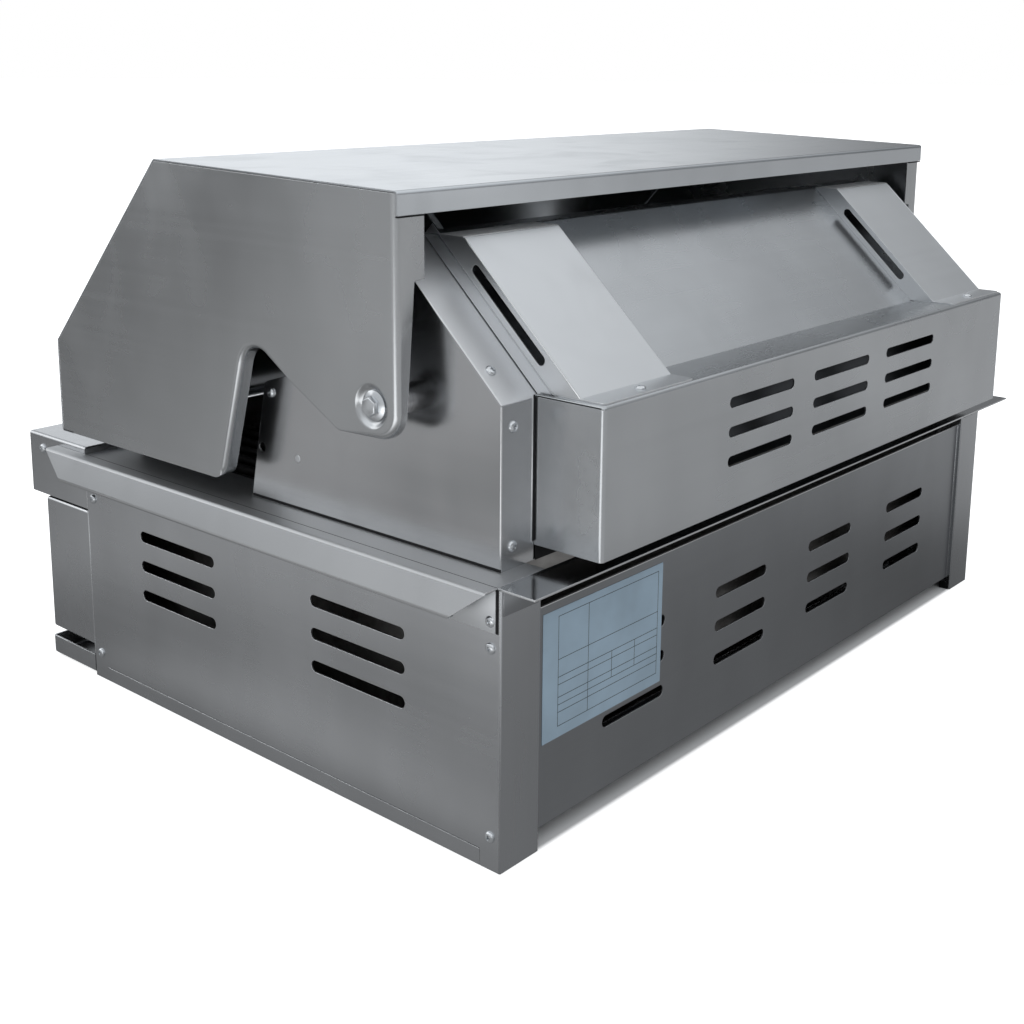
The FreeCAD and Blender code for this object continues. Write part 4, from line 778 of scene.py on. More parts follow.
    def hex_head(self, body: Body, place: Matrix) -> None:
        """Add a hexagon head whose top corners are turned off.

        Args:
            body: The mesh that takes it.
            place: Stands the head on its washer.
        """
        bm = body.bm
        before = set(bm.verts)
        corner = self.hexagon / 2 / math.cos(math.pi / 6)
        ring = bmesh.ops.create_circle(bm, cap_ends=True, segments=6, radius=corner)["verts"]
        bmesh.ops.translate(bm, vec=(0, 0, self.hex_foot), verts=ring)
        top = bmesh.ops.extrude_face_region(bm, geom=[ring[0].link_faces[0]])["geom"]
        bmesh.ops.translate(bm, vec=(0, 0, self.hex_rise), verts=picked(top, bmesh.types.BMVert))
        cap = picked(top, bmesh.types.BMFace)[0]
        bmesh.ops.bevel(bm, geom=list(cap.edges), affect="EDGES", offset=self.hex_round, segments=3,
                        profile=0.5, material=-1)
        body.settle(before, place)


# Hood
@dataclass
class HoodEnd:
    """The hood's two end plates, with rolled returns and a pressed dish round the hinge bolt."""

    palette: Palette
    depth: float = 28.0 * MM
    notch_depth: float = 13.0 * MM
    return_depth: float = 18.0 * MM
    ear_depth: float = 10.0 * MM
    plain_depth: float = 6.0 * MM
    plain_share: float = 0.15
    bend: float = 5.0 * MM
    steps: int = 6
    sheet: float = 1.5 * MM
    crease: float = 0.5 * MM
    dish: float = 17.0 * MM
    dish_rim: float = 1.05
    dish_profile: Profile = ((1.0, 0.0), (0.975, -0.15), (0.93, -0.6), (0.86, -1.6), (0.79, -2.7),
                             (0.71, -3.3), (0.62, -3.5), (0.47, -3.5))
    ear_low: float = 304.0 * MM
    ear_front: float = 134.5 * MM
    ear_radius: float = 21.0 * MM
    ear_corner: float = 12.0 * MM
    tab_low: float = 420.5 * MM
    tab_step: float = 0.4 * MM
    notch_y: float = 28.8 * MM
    notch_z: float = 361.5 * MM
    notch_radius: float = 19.5 * MM
    brow_start: float = 27.0 * MM
    brow_run: float = 24.0 * MM
    foot_y: float = -6.0 * MM
    foot_radius: float = 15.0 * MM
    foot_clear: float = 2.0 * MM
    slope_z: float = 321.4 * MM
    crown_y: float = -81.8 * MM
    crown_drop: float = 7.9 * MM

    def outline(self) -> list[tuple[float, float, float]]:
        """Give the plate's corners as y, z and corner radius, from the rear top down and round.

        Returns:
            The corners.
        """
        low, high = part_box("hood_side_right")
        brow_y = self.notch_y + self.brow_start + self.brow_run
        fall = (self.notch_z - self.ear_low) / (self.ear_front - self.notch_y)
        return [
            (high.y, high.z - self.crown_drop, 0.0),
            (high.y, self.tab_low + self.tab_step, 0.0),
            (high.y, self.tab_low - self.tab_step, 0.0),
            (high.y, self.ear_low, self.ear_radius),
            (self.ear_front, self.ear_low, self.ear_corner),
            (brow_y, self.notch_z - fall * (brow_y - self.notch_y), 0.0),
            (self.notch_y, self.notch_z, self.notch_radius),
            (self.foot_y, low.z, self.foot_radius),
            (low.y, low.z, 0.0),
            (low.y, self.slope_z, 0.0),
            (self.crown_y, high.z, 0.0),
        ]

    def share(self, place: Vector) -> tuple[float, float]:
        """Tell how far the edge is rolled at a place.

        Args:
            place: A point of the outline.

        Returns:
            The share of the full bend, and the depth of the return behind it.
        """
        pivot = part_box("pivot_bolts")[0]
        if place.y > pivot.y:
            if place.z > self.tab_low:
                return 1.0, self.depth
            foot = self.ear_low + self.ear_radius
            rise = max(0.0, (place.z - foot) / (self.tab_low - foot))
            return 1.0, self.ear_depth + (self.return_depth - self.ear_depth) * rise
        if place.y < self.foot_y - self.foot_clear:
            return self.plain_share, self.plain_depth
        fade = max(0.0, min(1.0, (place.y - self.notch_y - self.brow_start) / self.brow_run))
        depth = self.notch_depth + (self.plain_depth - self.notch_depth) * fade
        return 1.0 - (1.0 - self.plain_share) * fade, depth

    def make(self, side: Side) -> None:
        """Build one end plate.

        Args:
            side: The end of the hood.
        """
        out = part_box("hood_side_right")[1].x
        body = Body()
        bm = body.bm
        corners = self.outline()
        verts = [bm.verts.new((out, y, z)) for y, z, _ in corners]
        bm.faces.new(verts)
        for vert, (_, _, radius) in zip(verts, corners):
            if radius > 0.0:
                arms = [(edge.other_vert(vert).co - vert.co).normalized() for edge in vert.link_edges]
                run = radius / math.tan(arms[0].angle(arms[1]) / 2)
                bmesh.ops.bevel(bm, geom=[vert], affect="VERTICES", offset=run, segments=8, profile=0.5,
                                material=-1)
        plate = next(iter(bm.faces))
        ring = list(plate.verts)
        start = ring.index(verts[0])
        chain = ring[start:] + ring[:start]
        front_foot = verts[-3]
        self.roll_edges(bm, chain[:chain.index(front_foot) + 1])
        bmesh.ops.inset_region(bm, faces=[plate], thickness=self.crease, use_even_offset=True)
        self.press_dish(bm, plate)
        bmesh.ops.recalc_face_normals(bm, faces=bm.faces)
        if max(bm.faces, key=lambda face: face.calc_area()).normal.x < 0.0:
            bmesh.ops.reverse_faces(bm, faces=bm.faces)
        bmesh.ops.solidify(bm, geom=list(bm.faces), thickness=self.sheet)
        if side is Side.LEFT:
            bmesh.ops.scale(bm, vec=(-1, 1, 1), verts=bm.verts)
            bmesh.ops.reverse_faces(bm, faces=bm.faces)
        name = side.name.lower()
        body.piece("hood_end_" + name, self.palette[Finish.HOOD_SIDE], "hood", "hood_sheet",
                   ["hood_side_" + name], smooth=30.0)

    def roll_edges(self, bm: bmesh.types.BMesh, chain: list[bmesh.types.BMVert]) -> None:
        """Roll the rear edge, the notch and the lower edge inwards.

        Args:
            bm: The plate.
            chain: The edge's points in order, from the rear top to the front foot.
        """
        last = len(chain) - 1
        runs = [chain[min(index + 1, last)].co - chain[max(index - 1, 0)].co for index in range(last + 1)]
        outward = [Vector((0.0, -run.z, run.y)).normalized() for run in runs]
        shares = [self.share(vert.co) for vert in chain]
        line = list(chain)
        for vert, normal, (share, _) in zip(chain, outward, shares):
            vert.co -= normal * (self.bend * share)
        base = [vert.co.copy() for vert in chain]
        for step in range(1, self.steps + 2):
            edges = [bm.edges.get(pair) for pair in zip(line, line[1:])]
            fresh = set(picked(bmesh.ops.extrude_edge_only(bm, edges=edges)["geom"], bmesh.types.BMVert))
            line = [next(e.other_vert(v) for e in v.link_edges if e.other_vert(v) in fresh) for v in line]
            turn = math.radians(90.0 * min(step, self.steps) / self.steps)
            for vert, start, normal, (share, depth) in zip(line, base, outward, shares):
                bend = self.bend * share
                drop = bend * (1.0 - math.cos(turn)) if step <= self.steps else depth
                vert.co = start + normal * (bend * math.sin(turn)) - Vector((drop, 0.0, 0.0))

    def press_dish(self, bm: bmesh.types.BMesh, plate: bmesh.types.BMFace) -> None:
        """Cut a round hole about the hinge bolt and sink a smooth dish into it.

        Args:
            bm: The plate with its returns.
            plate: The plate's flat face.
        """
        low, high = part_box("pivot_bolts")
        centre = Vector((plate.verts[0].co.x, (low.y + high.y) / 2, (low.z + high.z) / 2))
        turn = Matrix.Translation(centre) @ Matrix.Rotation(math.pi / 2, 4, "Y")
        radius = self.dish * self.dish_rim
        edges = edges_of(bmesh.ops.create_circle(bm, segments=48, radius=radius, matrix=turn)["verts"])
        rim = list(plate.edges)
        bm.faces.remove(plate)
        bmesh.ops.triangle_fill(bm, edges=rim + edges, use_beauty=True, use_dissolve=False, normal=(1, 0, 0))
        for share, drop in self.dish_profile:
            edges = picked(bmesh.ops.extrude_edge_only(bm, edges=edges)["geom"], bmesh.types.BMEdge)
            for vert in {v for e in edges for v in e.verts}:
                arm = Vector((0.0, vert.co.y - centre.y, vert.co.z - centre.z)).normalized()
                vert.co = centre + arm * (self.dish * share) + Vector((drop * MM, 0.0, 0.0))


class Tick(Enum):
    """The dial's ticks, with their inner radius and half width."""

    MAJOR = (24.0 * MM, 0.55 * MM)
    MIDDLE = (26.0 * MM, 0.28 * MM)
    MINOR = (27.6 * MM, 0.28 * MM)

    @classmethod
    def of(cls, index: int) -> "Tick":
        """Give the kind of a tick.

        Args:
            index: The tick's number.

        Returns:
            Its kind.
        """
        if index % 10 == 0:
            return cls.MAJOR
        return cls.MIDDLE if index % 5 == 0 else cls.MINOR


@dataclass
class Thermometer:
    """The dial on the hood's slope: enamel face, ticks, numbers and glass."""

    palette: Palette
    radius: float = 31.6 * MM
    hub: float = 1.35 * MM
    floor: float = 7.12 * MM
    turned_up: float = 0.5 * MM
    turned_width: float = 1.0 * MM
    facets: int = 72
    sweep: float = 240.0
    ticks: int = 40
    tick_end: float = 29.6 * MM
    tick_rise: float = 0.12 * MM
    numbers: tuple[str, ...] = ("0", "100", "200", "300", "400")
    number_radius: float = 19.6 * MM
    number_size: float = 5.2 * MM
    number_rise: float = 0.06 * MM
    glass: Profile = ((0.0, 11.6), (12.0, 11.5), (24.0, 11.1), (31.7, 10.5), (31.7, 10.0), (24.0, 10.3),
                      (12.0, 10.6), (0.0, 10.7))

    def place(self) -> Matrix:
        """Stand local Z on the slope at the dial's middle, with local Y up the slope.

        Returns:
            The dial's transform.
        """
        joint = next(j for j in frame["joints"] if j["name"] == "dial_pointer_turn")
        normal = -Vector(joint["axis"]).normalized()
        across = Vector((1.0, 0.0, 0.0))
        turn = Matrix((across, normal.cross(across), normal)).transposed().to_4x4()
        return Matrix.Translation(joint["pos_m"]) @ turn

    def spin(self, index: int, count: int) -> Matrix:
        """Turn to one of a number of equal steps of the sweep."""
        return Matrix.Rotation(math.radians(self.sweep / 2 - index * self.sweep / count), 4, "Z")

    def make(self) -> None:
        """Build the dial."""
        place = self.place()
        face, marks, glass = Body(), Body(), Body()
        lift = self.floor
        face.lathe([(self.hub, lift), (self.radius - self.turned_width, lift),
                    (self.radius, lift + self.turned_up)], self.facets, place)
        face.piece("dial_face", self.palette[Finish.ENAMEL], "hood", "dial_steel")
        for index in range(self.ticks + 1):
            inner, half = Tick.of(index).value
            marks.block((-half, inner, lift), (half, self.tick_end, lift + self.tick_rise),
                        place=place @ self.spin(index, self.ticks))
        for index, text in enumerate(self.numbers):
            spot = self.spin(index, len(self.numbers) - 1) @ Vector((0.0, self.number_radius, lift))
            self.number(marks, text, place @ Matrix.Translation(spot))
        marks.piece("dial_marks", self.palette[Finish.INK], "hood", "dial_steel")
        glass.lathe(metres(self.glass), self.facets, place)
        glass.piece("dial_glass", self.palette[Finish.GLASS], "hood", "dial_steel")

    def number(self, body: Body, text: str, place: Matrix) -> None:
        """Add a printed number.

        Args:
            body: The mesh that takes it.
            text: The digits.
            place: Puts its middle on the dial.
        """
        curve = bpy.data.curves.new("digits", "FONT")
        curve.body = text
        curve.size = self.number_size
        curve.align_x = "CENTER"
        curve.align_y = "CENTER"
        curve.extrude = self.number_rise
        holder = bpy.data.objects.new("digits", curve)
        mesh = bpy.data.meshes.new_from_object(holder)
        mesh.transform(place)
        body.bm.from_mesh(mesh)
        bpy.data.objects.remove(holder)
        bpy.data.meshes.remove(mesh)
        bpy.data.curves.remove(curve)


@dataclass
class Hood:
    """The hood with its handle, its thermometer and dark strips under its rear lip that paint the shade in the
    gaps there.
    """

    palette: Palette
    lip_low: float = 467.0 * MM
    lip_sheet: float = 2.5 * MM
    gap_shade: float = 0.9 * MM
    gap_shade_start: float = 27.0 * MM
    gap_shade_end: float = 0.4 * MM

    def make(self) -> None:
        """Dress the hood."""
        dress = self.palette.dress
        dress(Finish.HOOD, "hood_shell")
        dress(Finish.HANDLE, "handle_bar")
        dress(Finish.KNOB, "handle_posts")
        dress(Finish.CASE, "thermometer_case")
        dress(Finish.NEEDLE, "thermometer_needle")
        # Dark strips at the rear lip's ends paint the shade in the gaps there.
        gap_shades, shell = Body(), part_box("hood_shell")[1]
        for side in Side:
            HoodEnd(self.palette).make(side)
            left, right = side.span(shell.x - self.gap_shade_start, shell.x - self.gap_shade_end)
            gap_shades.block((left, shell.y - self.lip_sheet, self.lip_low - self.gap_shade),
                        (right, shell.y, self.lip_low))
        gap_shades.piece("lip_gap_shades", self.palette[Finish.GAP_SHADE], "hood", "hood_sheet")
        Thermometer(self.palette).make()


# Cabinet and rear body
@dataclass
class Cabinet:
    """The slotted cabinet, its flange, the rear body and the blank data plate."""

    palette: Palette
    plate_near: float = 350.0 * MM
    plate_far: float = 200.0 * MM
    plate_low: float = 80.0 * MM
    plate_high: float = 182.0 * MM
    foil_back: float = 0.05 * MM
    foil_face: float = 0.35 * MM
    foil_round: float = 0.12 * MM
    near_margin: float = 18.0 * MM
    low_margin: float = 9.0 * MM
    margin: float = 6.0 * MM
    column: float = 36.0 * MM
    rows: tuple[float, ...] = (0.0, 11.0, 17.0, 23.0, 33.0, 39.0, 53.0)
    splits: tuple[float, ...] = (0.33, 0.66)
    pen: float = 0.22 * MM
    ink_back: float = 0.34 * MM
    ink_face: float = 0.40 * MM

    def make(self) -> None:
        """Dress the cabinet."""
        dress = self.palette.dress
        dress(Finish.SIDE, "side_panel_left", "side_panel_right", "base_rails")
        dress(Finish.POST, "rear_post_left", "rear_post_right")
        dress(Finish.REAR, "rear_panel")
        dress(Finish.LEDGE, "rear_flange")
        dress(Finish.FLANGE, "counter_flange_left", "counter_flange_right")
        dress(Finish.WALL, "firebox_side_left", "firebox_side_right")
        dress(Finish.BACK, "rear_shield", "rear_burner_housing")
        dress(Finish.COVER, "flue_cover_left", "flue_cover_right")
        dress(Finish.BUSH, "pivot_bushes")
        dress(Finish.ZINC, "pivot_nuts")
        dress(Finish.RUBBER, "hood_bumpers")
        self.data_plate()

    def data_plate(self) -> None:
        """Add the blank foil on the rear panel, ruled into empty fields."""
        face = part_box("rear_panel")[1].y
        foil, rules = Body(), Body()
        foil.block((self.plate_far, face + self.foil_back, self.plate_low),
                   (self.plate_near, face + self.foil_face, self.plate_high), self.foil_round, 1)
        foil.piece("data_plate_foil", self.palette[Finish.FOIL], "cabinet", "outer_sheet")
        near, far = self.plate_near - self.near_margin, self.plate_far + self.margin
        low, high = self.plate_low + self.low_margin, self.plate_high - self.margin
        column = near - self.column
        levels = [low + row * MM for row in self.rows] + [high]
        for level in levels:
            self.rule(rules, face, (far, near), (level, level))
        for upright in (near, column, far):
            self.rule(rules, face, (upright, upright), (low, high))
        for share in self.splits:
            spot = column + (far - column) * share
            self.rule(rules, face, (spot, spot), (levels[2], levels[5]))
        rules.piece("data_plate_rules", self.palette[Finish.INK], "cabinet", "outer_sheet")

    def rule(self, body: Body, face: float, across: tuple[float, float],
             upright: tuple[float, float]) -> None:
        """Add one ruled line on the foil.

        Args:
            body: The mesh that takes it.
            face: The y of the rear panel's face.
            across: Its lower and higher end in x.
            upright: Its lower and higher end in z.
        """
        body.block((across[0] - self.pen, face + self.ink_back, upright[0] - self.pen),
                   (across[1] + self.pen, face + self.ink_face, upright[1] + self.pen))


@dataclass
class Trim:
    """Dark strips that paint shade in gaps, screwed tabs, a darker tab that paints the ledge's shade, bright
    strips that paint highlights on hems, folds and crests, and the flue covers' skirts, alike on both sides.
    """

    palette: Palette
    proud: float = 0.3 * MM
    sunk: float = 0.1 * MM
    clear: float = 1.0 * MM
    foot_gap: float = 2.0 * MM
    end_gap: float = 2.4 * MM
    end_foot: float = 3.0 * MM
    under_near: float = 0.2 * MM
    under_far: float = 0.8 * MM
    crease_front: float = -218.0 * MM
    crease_rear: float = 2.8 * MM
    crease_in: float = 0.4 * MM
    crease_out: float = 0.2 * MM
    crease_rise: float = 0.05 * MM
    corner_far: float = 3.4 * MM
    corner_near: float = 1.2 * MM
    lid_front: float = 2.0 * MM
    lid_rear: float = 3.0 * MM
    lid_low: float = 2.4 * MM
    lid_high: float = 1.5 * MM
    lid_proud: float = 0.15 * MM
    hem_highlight: float = 0.8 * MM
    hem_round: float = 0.25 * MM
    edge_round: float = 0.15 * MM
    panel_hem_low: float = 22.0 * MM
    panel_hem_high: float = 162.0 * MM
    panel_hem_front: float = 0.5 * MM
    panel_hem_proud: float = 0.4 * MM
    tab: float = 0.7 * MM
    tab_low: float = 183.0 * MM
    tab_front: float = 234.0 * MM
    tab_inset: float = 3.6 * MM
    cap_inset: float = 1.6 * MM
    ledge_tab_low: float = 196.5 * MM
    ledge_tab_top: float = 0.2 * MM
    spot_y: float = 51.1 * MM
    spot_z: float = 259.4 * MM
    spot: Profile = ((0.0, 0.35), (2.6, 0.3), (3.1, -0.1))
    knee: float = 339.0 * MM
    slant: float = 43.0
    skirt: float = 13.0 * MM
    skirt_foot: float = -12.0 * MM
    skirt_end: float = 3.0 * MM
    skirt_lift: float = 0.7 * MM
    skirt_sheet: float = 0.6 * MM
    skirt_sunk: float = 0.05 * MM
    fold_rise: float = 29.0 * MM
    fold_start: float = -25.0 * MM
    fold_end: float = 126.0 * MM
    fold_proud: float = 0.15 * MM
    fold_out: float = 0.2 * MM
    crest_y: float = 194.3 * MM
    crest_width: float = 1.1 * MM
    crest_deep: float = 0.7 * MM
    crest_rise: float = 0.2 * MM

    def make(self) -> None:
        """Add the trim."""
        gaps, tabs, dark_tabs, hems, skirts, crests = (Body() for _ in range(6))
        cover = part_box("flue_cover_right")
        for side in Side:
            self.joints(gaps, side)
            self.cover_skirt(skirts, hems, side)
            self.hems(hems, side)
            self.tabs(tabs, dark_tabs, side)
            # A pale strip along each cover's crest, a painted highlight.
            self.strip(crests, side, (cover[0].x, cover[0].y, cover[1].z - self.sunk),
                       (cover[1].x, self.crest_y, cover[1].z + self.crest_rise))
        # Bright strips are painted highlights, dark strips painted shade in gaps, and the ledge tabs painted
        # shade.
        for body, name, finish in ((crests, "cover_crest_highlights", Finish.CREST_HIGHLIGHT), (gaps, "gap_shade_strips", Finish.GAP_SHADE),
                                   (tabs, "skirt_tabs", Finish.TAB), (dark_tabs, "ledge_shade_tabs", Finish.REAR),
                                   (hems, "sheet_hem_highlights", Finish.HEM_HIGHLIGHT), (skirts, "cover_skirts", Finish.COVER)):
            body.piece(name, self.palette[finish], "cabinet", "outer_sheet")

    def strip(self, body: Body, side: Side, low: Point, high: Point, bevel: float = 0.0) -> None:
        """Add a thin strip, mirrored for the left side.

        Args:
            body: The mesh that takes it.
            side: The side of the grill.
            low: Its lowest corner on the right side.
            high: Its highest corner on the right side.
            bevel: The width of its rounded edges.
        """
        left, right = side.span(low[0], high[0])
        body.block((left, *low[1:]), (right, *high[1:]), bevel)

    def joints(self, body: Body, side: Side) -> None:
        """Add dark strips that paint the shade in the gaps: wall foot, housing end, gap below it, deck crease,
        cabinet corner and lid.

        Args:
            body: The mesh that takes them.
            side: The side of the grill.
        """
        wall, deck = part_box("firebox_side_right"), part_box("counter_flange_right")[1].z
        low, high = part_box("rear_burner_housing")
        panel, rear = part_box("side_panel_right")[1], wall[1].y
        self.strip(body, side, (wall[1].x - self.proud, wall[0].y + self.clear, deck + self.sunk),
                   (wall[1].x + self.proud, rear, deck + self.foot_gap))
        self.strip(body, side, (high.x, rear - self.proud, low.z + self.end_foot),
                   (high.x + self.end_gap, rear + self.proud, high.z - self.clear))
        self.strip(body, side, (0.0, low.y + self.under_near, deck + self.under_near),
                   (high.x - self.clear, low.y + self.under_far, low.z + self.under_near))
        self.strip(body, side, (panel.x - self.crease_in, self.crease_front, deck - self.sunk),
                   (panel.x + self.crease_out, panel.y - self.crease_rear, deck + self.crease_rise))
        self.strip(body, side, (panel.x - self.proud, panel.y - self.corner_far, self.tab_low),
                   (panel.x + self.proud, panel.y - self.corner_near, panel.z))
        self.strip(body, side, (high.x - self.proud, low.y + self.lid_front, high.z - self.lid_low),
                   (high.x + self.lid_proud, high.y - self.lid_rear, high.z - self.lid_high))

    def hems(self, body: Body, side: Side) -> None:
        """Add bright strips that paint the highlights along the hems of the wall's flange, the side panel and
        the rear panel.

        Args:
            body: The mesh that takes them.
            side: The side of the grill.
        """
        flange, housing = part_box("firebox_side_right")[1].y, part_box("rear_burner_housing")
        low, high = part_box("side_panel_right")
        rear_foot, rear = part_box("rear_panel")
        edge, out = housing[1].x + self.end_gap, self.panel_hem_proud
        self.strip(body, side, (edge, flange - self.proud, housing[0].z + self.end_foot),
                   (edge + self.hem_highlight, flange + 2 * self.proud, housing[1].z - self.clear), self.hem_round)
        self.strip(body, side, (high.x - self.hem_highlight, low.y - self.panel_hem_front, self.panel_hem_low),
                   (high.x + out, low.y + out, self.panel_hem_high), self.hem_round)
        end = (rear.x, rear.y + self.proud, rear.z)
        self.strip(body, side, (rear.x - self.hem_highlight, rear.y - self.proud, rear_foot.z), end, self.edge_round)
        self.strip(body, side, (0.0, rear.y - self.proud, rear.z - self.hem_highlight), end, self.edge_round)

    def cover_skirt(self, body: Body, bright: Body, side: Side) -> None:
        """Carry a flue cover's outer side down to the wall's slanted flange, and paint highlights on the cover's
        folds with bright strips.

        Args:
            body: The mesh that takes the side.
            bright: The mesh that takes the bright strips, painted highlights on the folds.
            side: The side of the grill.
        """
        wall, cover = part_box("firebox_side_right")[1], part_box("flue_cover_right")
        edge, slant = cover[1].x - self.skirt_sunk, math.radians(self.slant)
        place = Matrix.Translation((0.0, wall.y, self.knee)) @ Matrix.Rotation(math.pi - slant, 4, "X")
        left, right = side.span(edge - self.skirt_sheet, edge)
        end = (wall.z - self.knee) / math.sin(slant) - self.skirt_end
        body.block((left, self.skirt_foot, -self.skirt), (right, end, -self.skirt_lift), place=place)
        left, right = side.span(edge - self.hem_highlight, edge + self.fold_out)
        bright.block((left, self.fold_start, -self.fold_rise - self.fold_proud),
                     (right, self.fold_end, -self.fold_rise + self.hem_highlight), self.fold_out, place=place)
        self.strip(bright, side, (cover[0].x + self.clear, self.crest_y, cover[1].z - self.crest_deep),
                   (edge, self.crest_y + self.crest_width, cover[1].z + self.fold_proud), self.fold_out)

    def tabs(self, light: Body, dark: Body, side: Side) -> None:
        """Add the skirt's rear tab, the cap's closing strip, the wall's rivet and a darker tab on the post under
        the ledge, which paints the ledge's shade.

        Args:
            light: The mesh that takes the pale ones.
            dark: The mesh that takes the darker tab under the ledge, painted shade.
            side: The side of the grill.
        """
        panel, post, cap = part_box("side_panel_right")[1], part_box("rear_post_right"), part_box("front_cap")[1]
        liner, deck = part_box("firebox_front")[1].x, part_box("counter_flange_right")[1].z
        wall = side.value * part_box("firebox_side_right")[1].x
        self.strip(light, side, (panel.x - self.sunk, self.tab_front, self.tab_low),
                   (panel.x + self.tab, panel.y - self.tab_inset, panel.z - self.proud), self.hem_round)
        self.strip(light, side, (liner + self.clear, cap.y - self.tab, deck + self.sunk),
                   (panel.x - self.clear, cap.y + self.sunk, cap.z - self.cap_inset))
        light.lathe(metres(self.spot), 24, facing((wall, self.spot_y, self.spot_z), (side.value, 0, 0)))
        # A tab in the darker rear finish on the post under the ledge: painted shade.
        self.strip(dark, side, (post[0].x + self.tab_inset, post[1].y - self.sunk, self.ledge_tab_low),
                   (post[1].x - self.cap_inset, post[1].y + self.tab, post[1].z - self.ledge_tab_top),
                   self.hem_round)


# Front
@dataclass
class Front:
    """The ledge, the control panel with its knobs and switch, and the drip tray."""

    palette: Palette
    knobs: range = range(1, 6)
    flutes: int = 24
    flute_depth: float = 0.024
    flute_low: float = 8.0 * MM
    flute_top: float = 2.0 * MM
    flute_reach: float = 18.0 * MM
    skirt: Profile = ((0.0, 0.0), (23.2, 0.0), (24.0, 0.8), (24.0, 5.2), (23.2, 6.2), (21.6, 7.0))
    grip: Profile = ((20.4, 8.4), (20.1, 14.0), (19.8, 20.0))
    crown: Profile = ((19.5, -2.4), (18.9, -0.9), (17.6, -0.2), (15.2, 0.0), (14.6, -0.5), (0.0, -0.5))
    line_half: float = 0.8 * MM
    line_low: float = 7.0 * MM
    line_high: float = 17.4 * MM
    line_proud: float = 0.05 * MM
    line_sunk: float = 0.4 * MM
    line_round: float = 0.2 * MM
    dots: int = 9
    dot_ring: float = 39.5 * MM
    dot_start: float = -20.0
    dot_step: float = -22.5
    dot_first: float = 0.7 * MM
    dot_growth: float = 0.16 * MM
    dot_rise: float = 0.06 * MM
    dot_sunk: float = 0.02 * MM

    def make(self) -> None:
        """Dress the front."""
        dress = self.palette.dress
        dress(Finish.FRONT, "front_cap", "control_panel", "drip_tray")
        dress(Finish.BEZEL, "knob_bezels")
        dress(Finish.PLASTIC, "light_switch", "switch_rocker")
        dress(Finish.INNER, "front_posts")
        for index in self.knobs:
            dress(Finish.BUSH, "valve_stem_%d" % index)
            self.knob(index)
        self.marks()

    def knob(self, index: int) -> None:
        """Replace one knob with a fluted one that has a pointer line.

        Args:
            index: The knob's number, from the left.
        """
        node, rider = "control_knob_%d" % index, "knob_%d" % index
        low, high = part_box(node)
        middle = (low + high) / 2
        foot = (middle.x, high.y, middle.z)
        place = facing(foot, (0, -1, 0))
        back = place.inverted()
        rise = high.y - low.y
        grip, line = Body(), Body()
        crown = [(radius, height + rise) for radius, height in metres(self.crown)]
        grip.lathe(metres(self.skirt + self.grip) + crown, self.flutes * 6, place)
        for vert in grip.bm.verts:
            local = back @ vert.co
            fluted = self.flute_low < local.z < rise - self.flute_top
            if fluted and local.xy.length > self.flute_reach:
                wave = math.cos(math.atan2(local.y, local.x) * self.flutes)
                share = 1.0 - self.flute_depth * max(0.0, wave)
                vert.co = place @ Vector((local.x * share, local.y * share, local.z))
        grip.piece("knob_%d_grip" % index, self.palette[Finish.KNOB], rider, "knob_metal", [node])
        line.block((-self.line_half, -rise - self.line_proud, self.line_low),
                   (self.line_half, -rise + self.line_sunk, self.line_high), self.line_round, 1,
                   Matrix.Translation(foot))
        line.piece("knob_%d_line" % index, self.palette[Finish.NEEDLE], rider, "needle_red")

    def marks(self) -> None:
        """Print a row of growing dots round each bezel."""
        body = Body()
        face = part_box("control_panel")[0].y
        for index in self.knobs:
            low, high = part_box("control_knob_%d" % index)
            middle = (low + high) / 2
            for step in range(self.dots):
                turn = math.radians(self.dot_start + step * self.dot_step)
                spot = Vector((math.sin(turn), 0.0, math.cos(turn))) * self.dot_ring
                size = self.dot_first + self.dot_growth * step
                place = facing((middle.x + spot.x, face, middle.z + spot.z), (0, -1, 0))
                body.lathe([(0.0, self.dot_rise), (size, self.dot_rise), (size, -self.dot_sunk)], 20, place)
        body.piece("panel_dots", self.palette[Finish.INK], "cabinet", "outer_sheet")


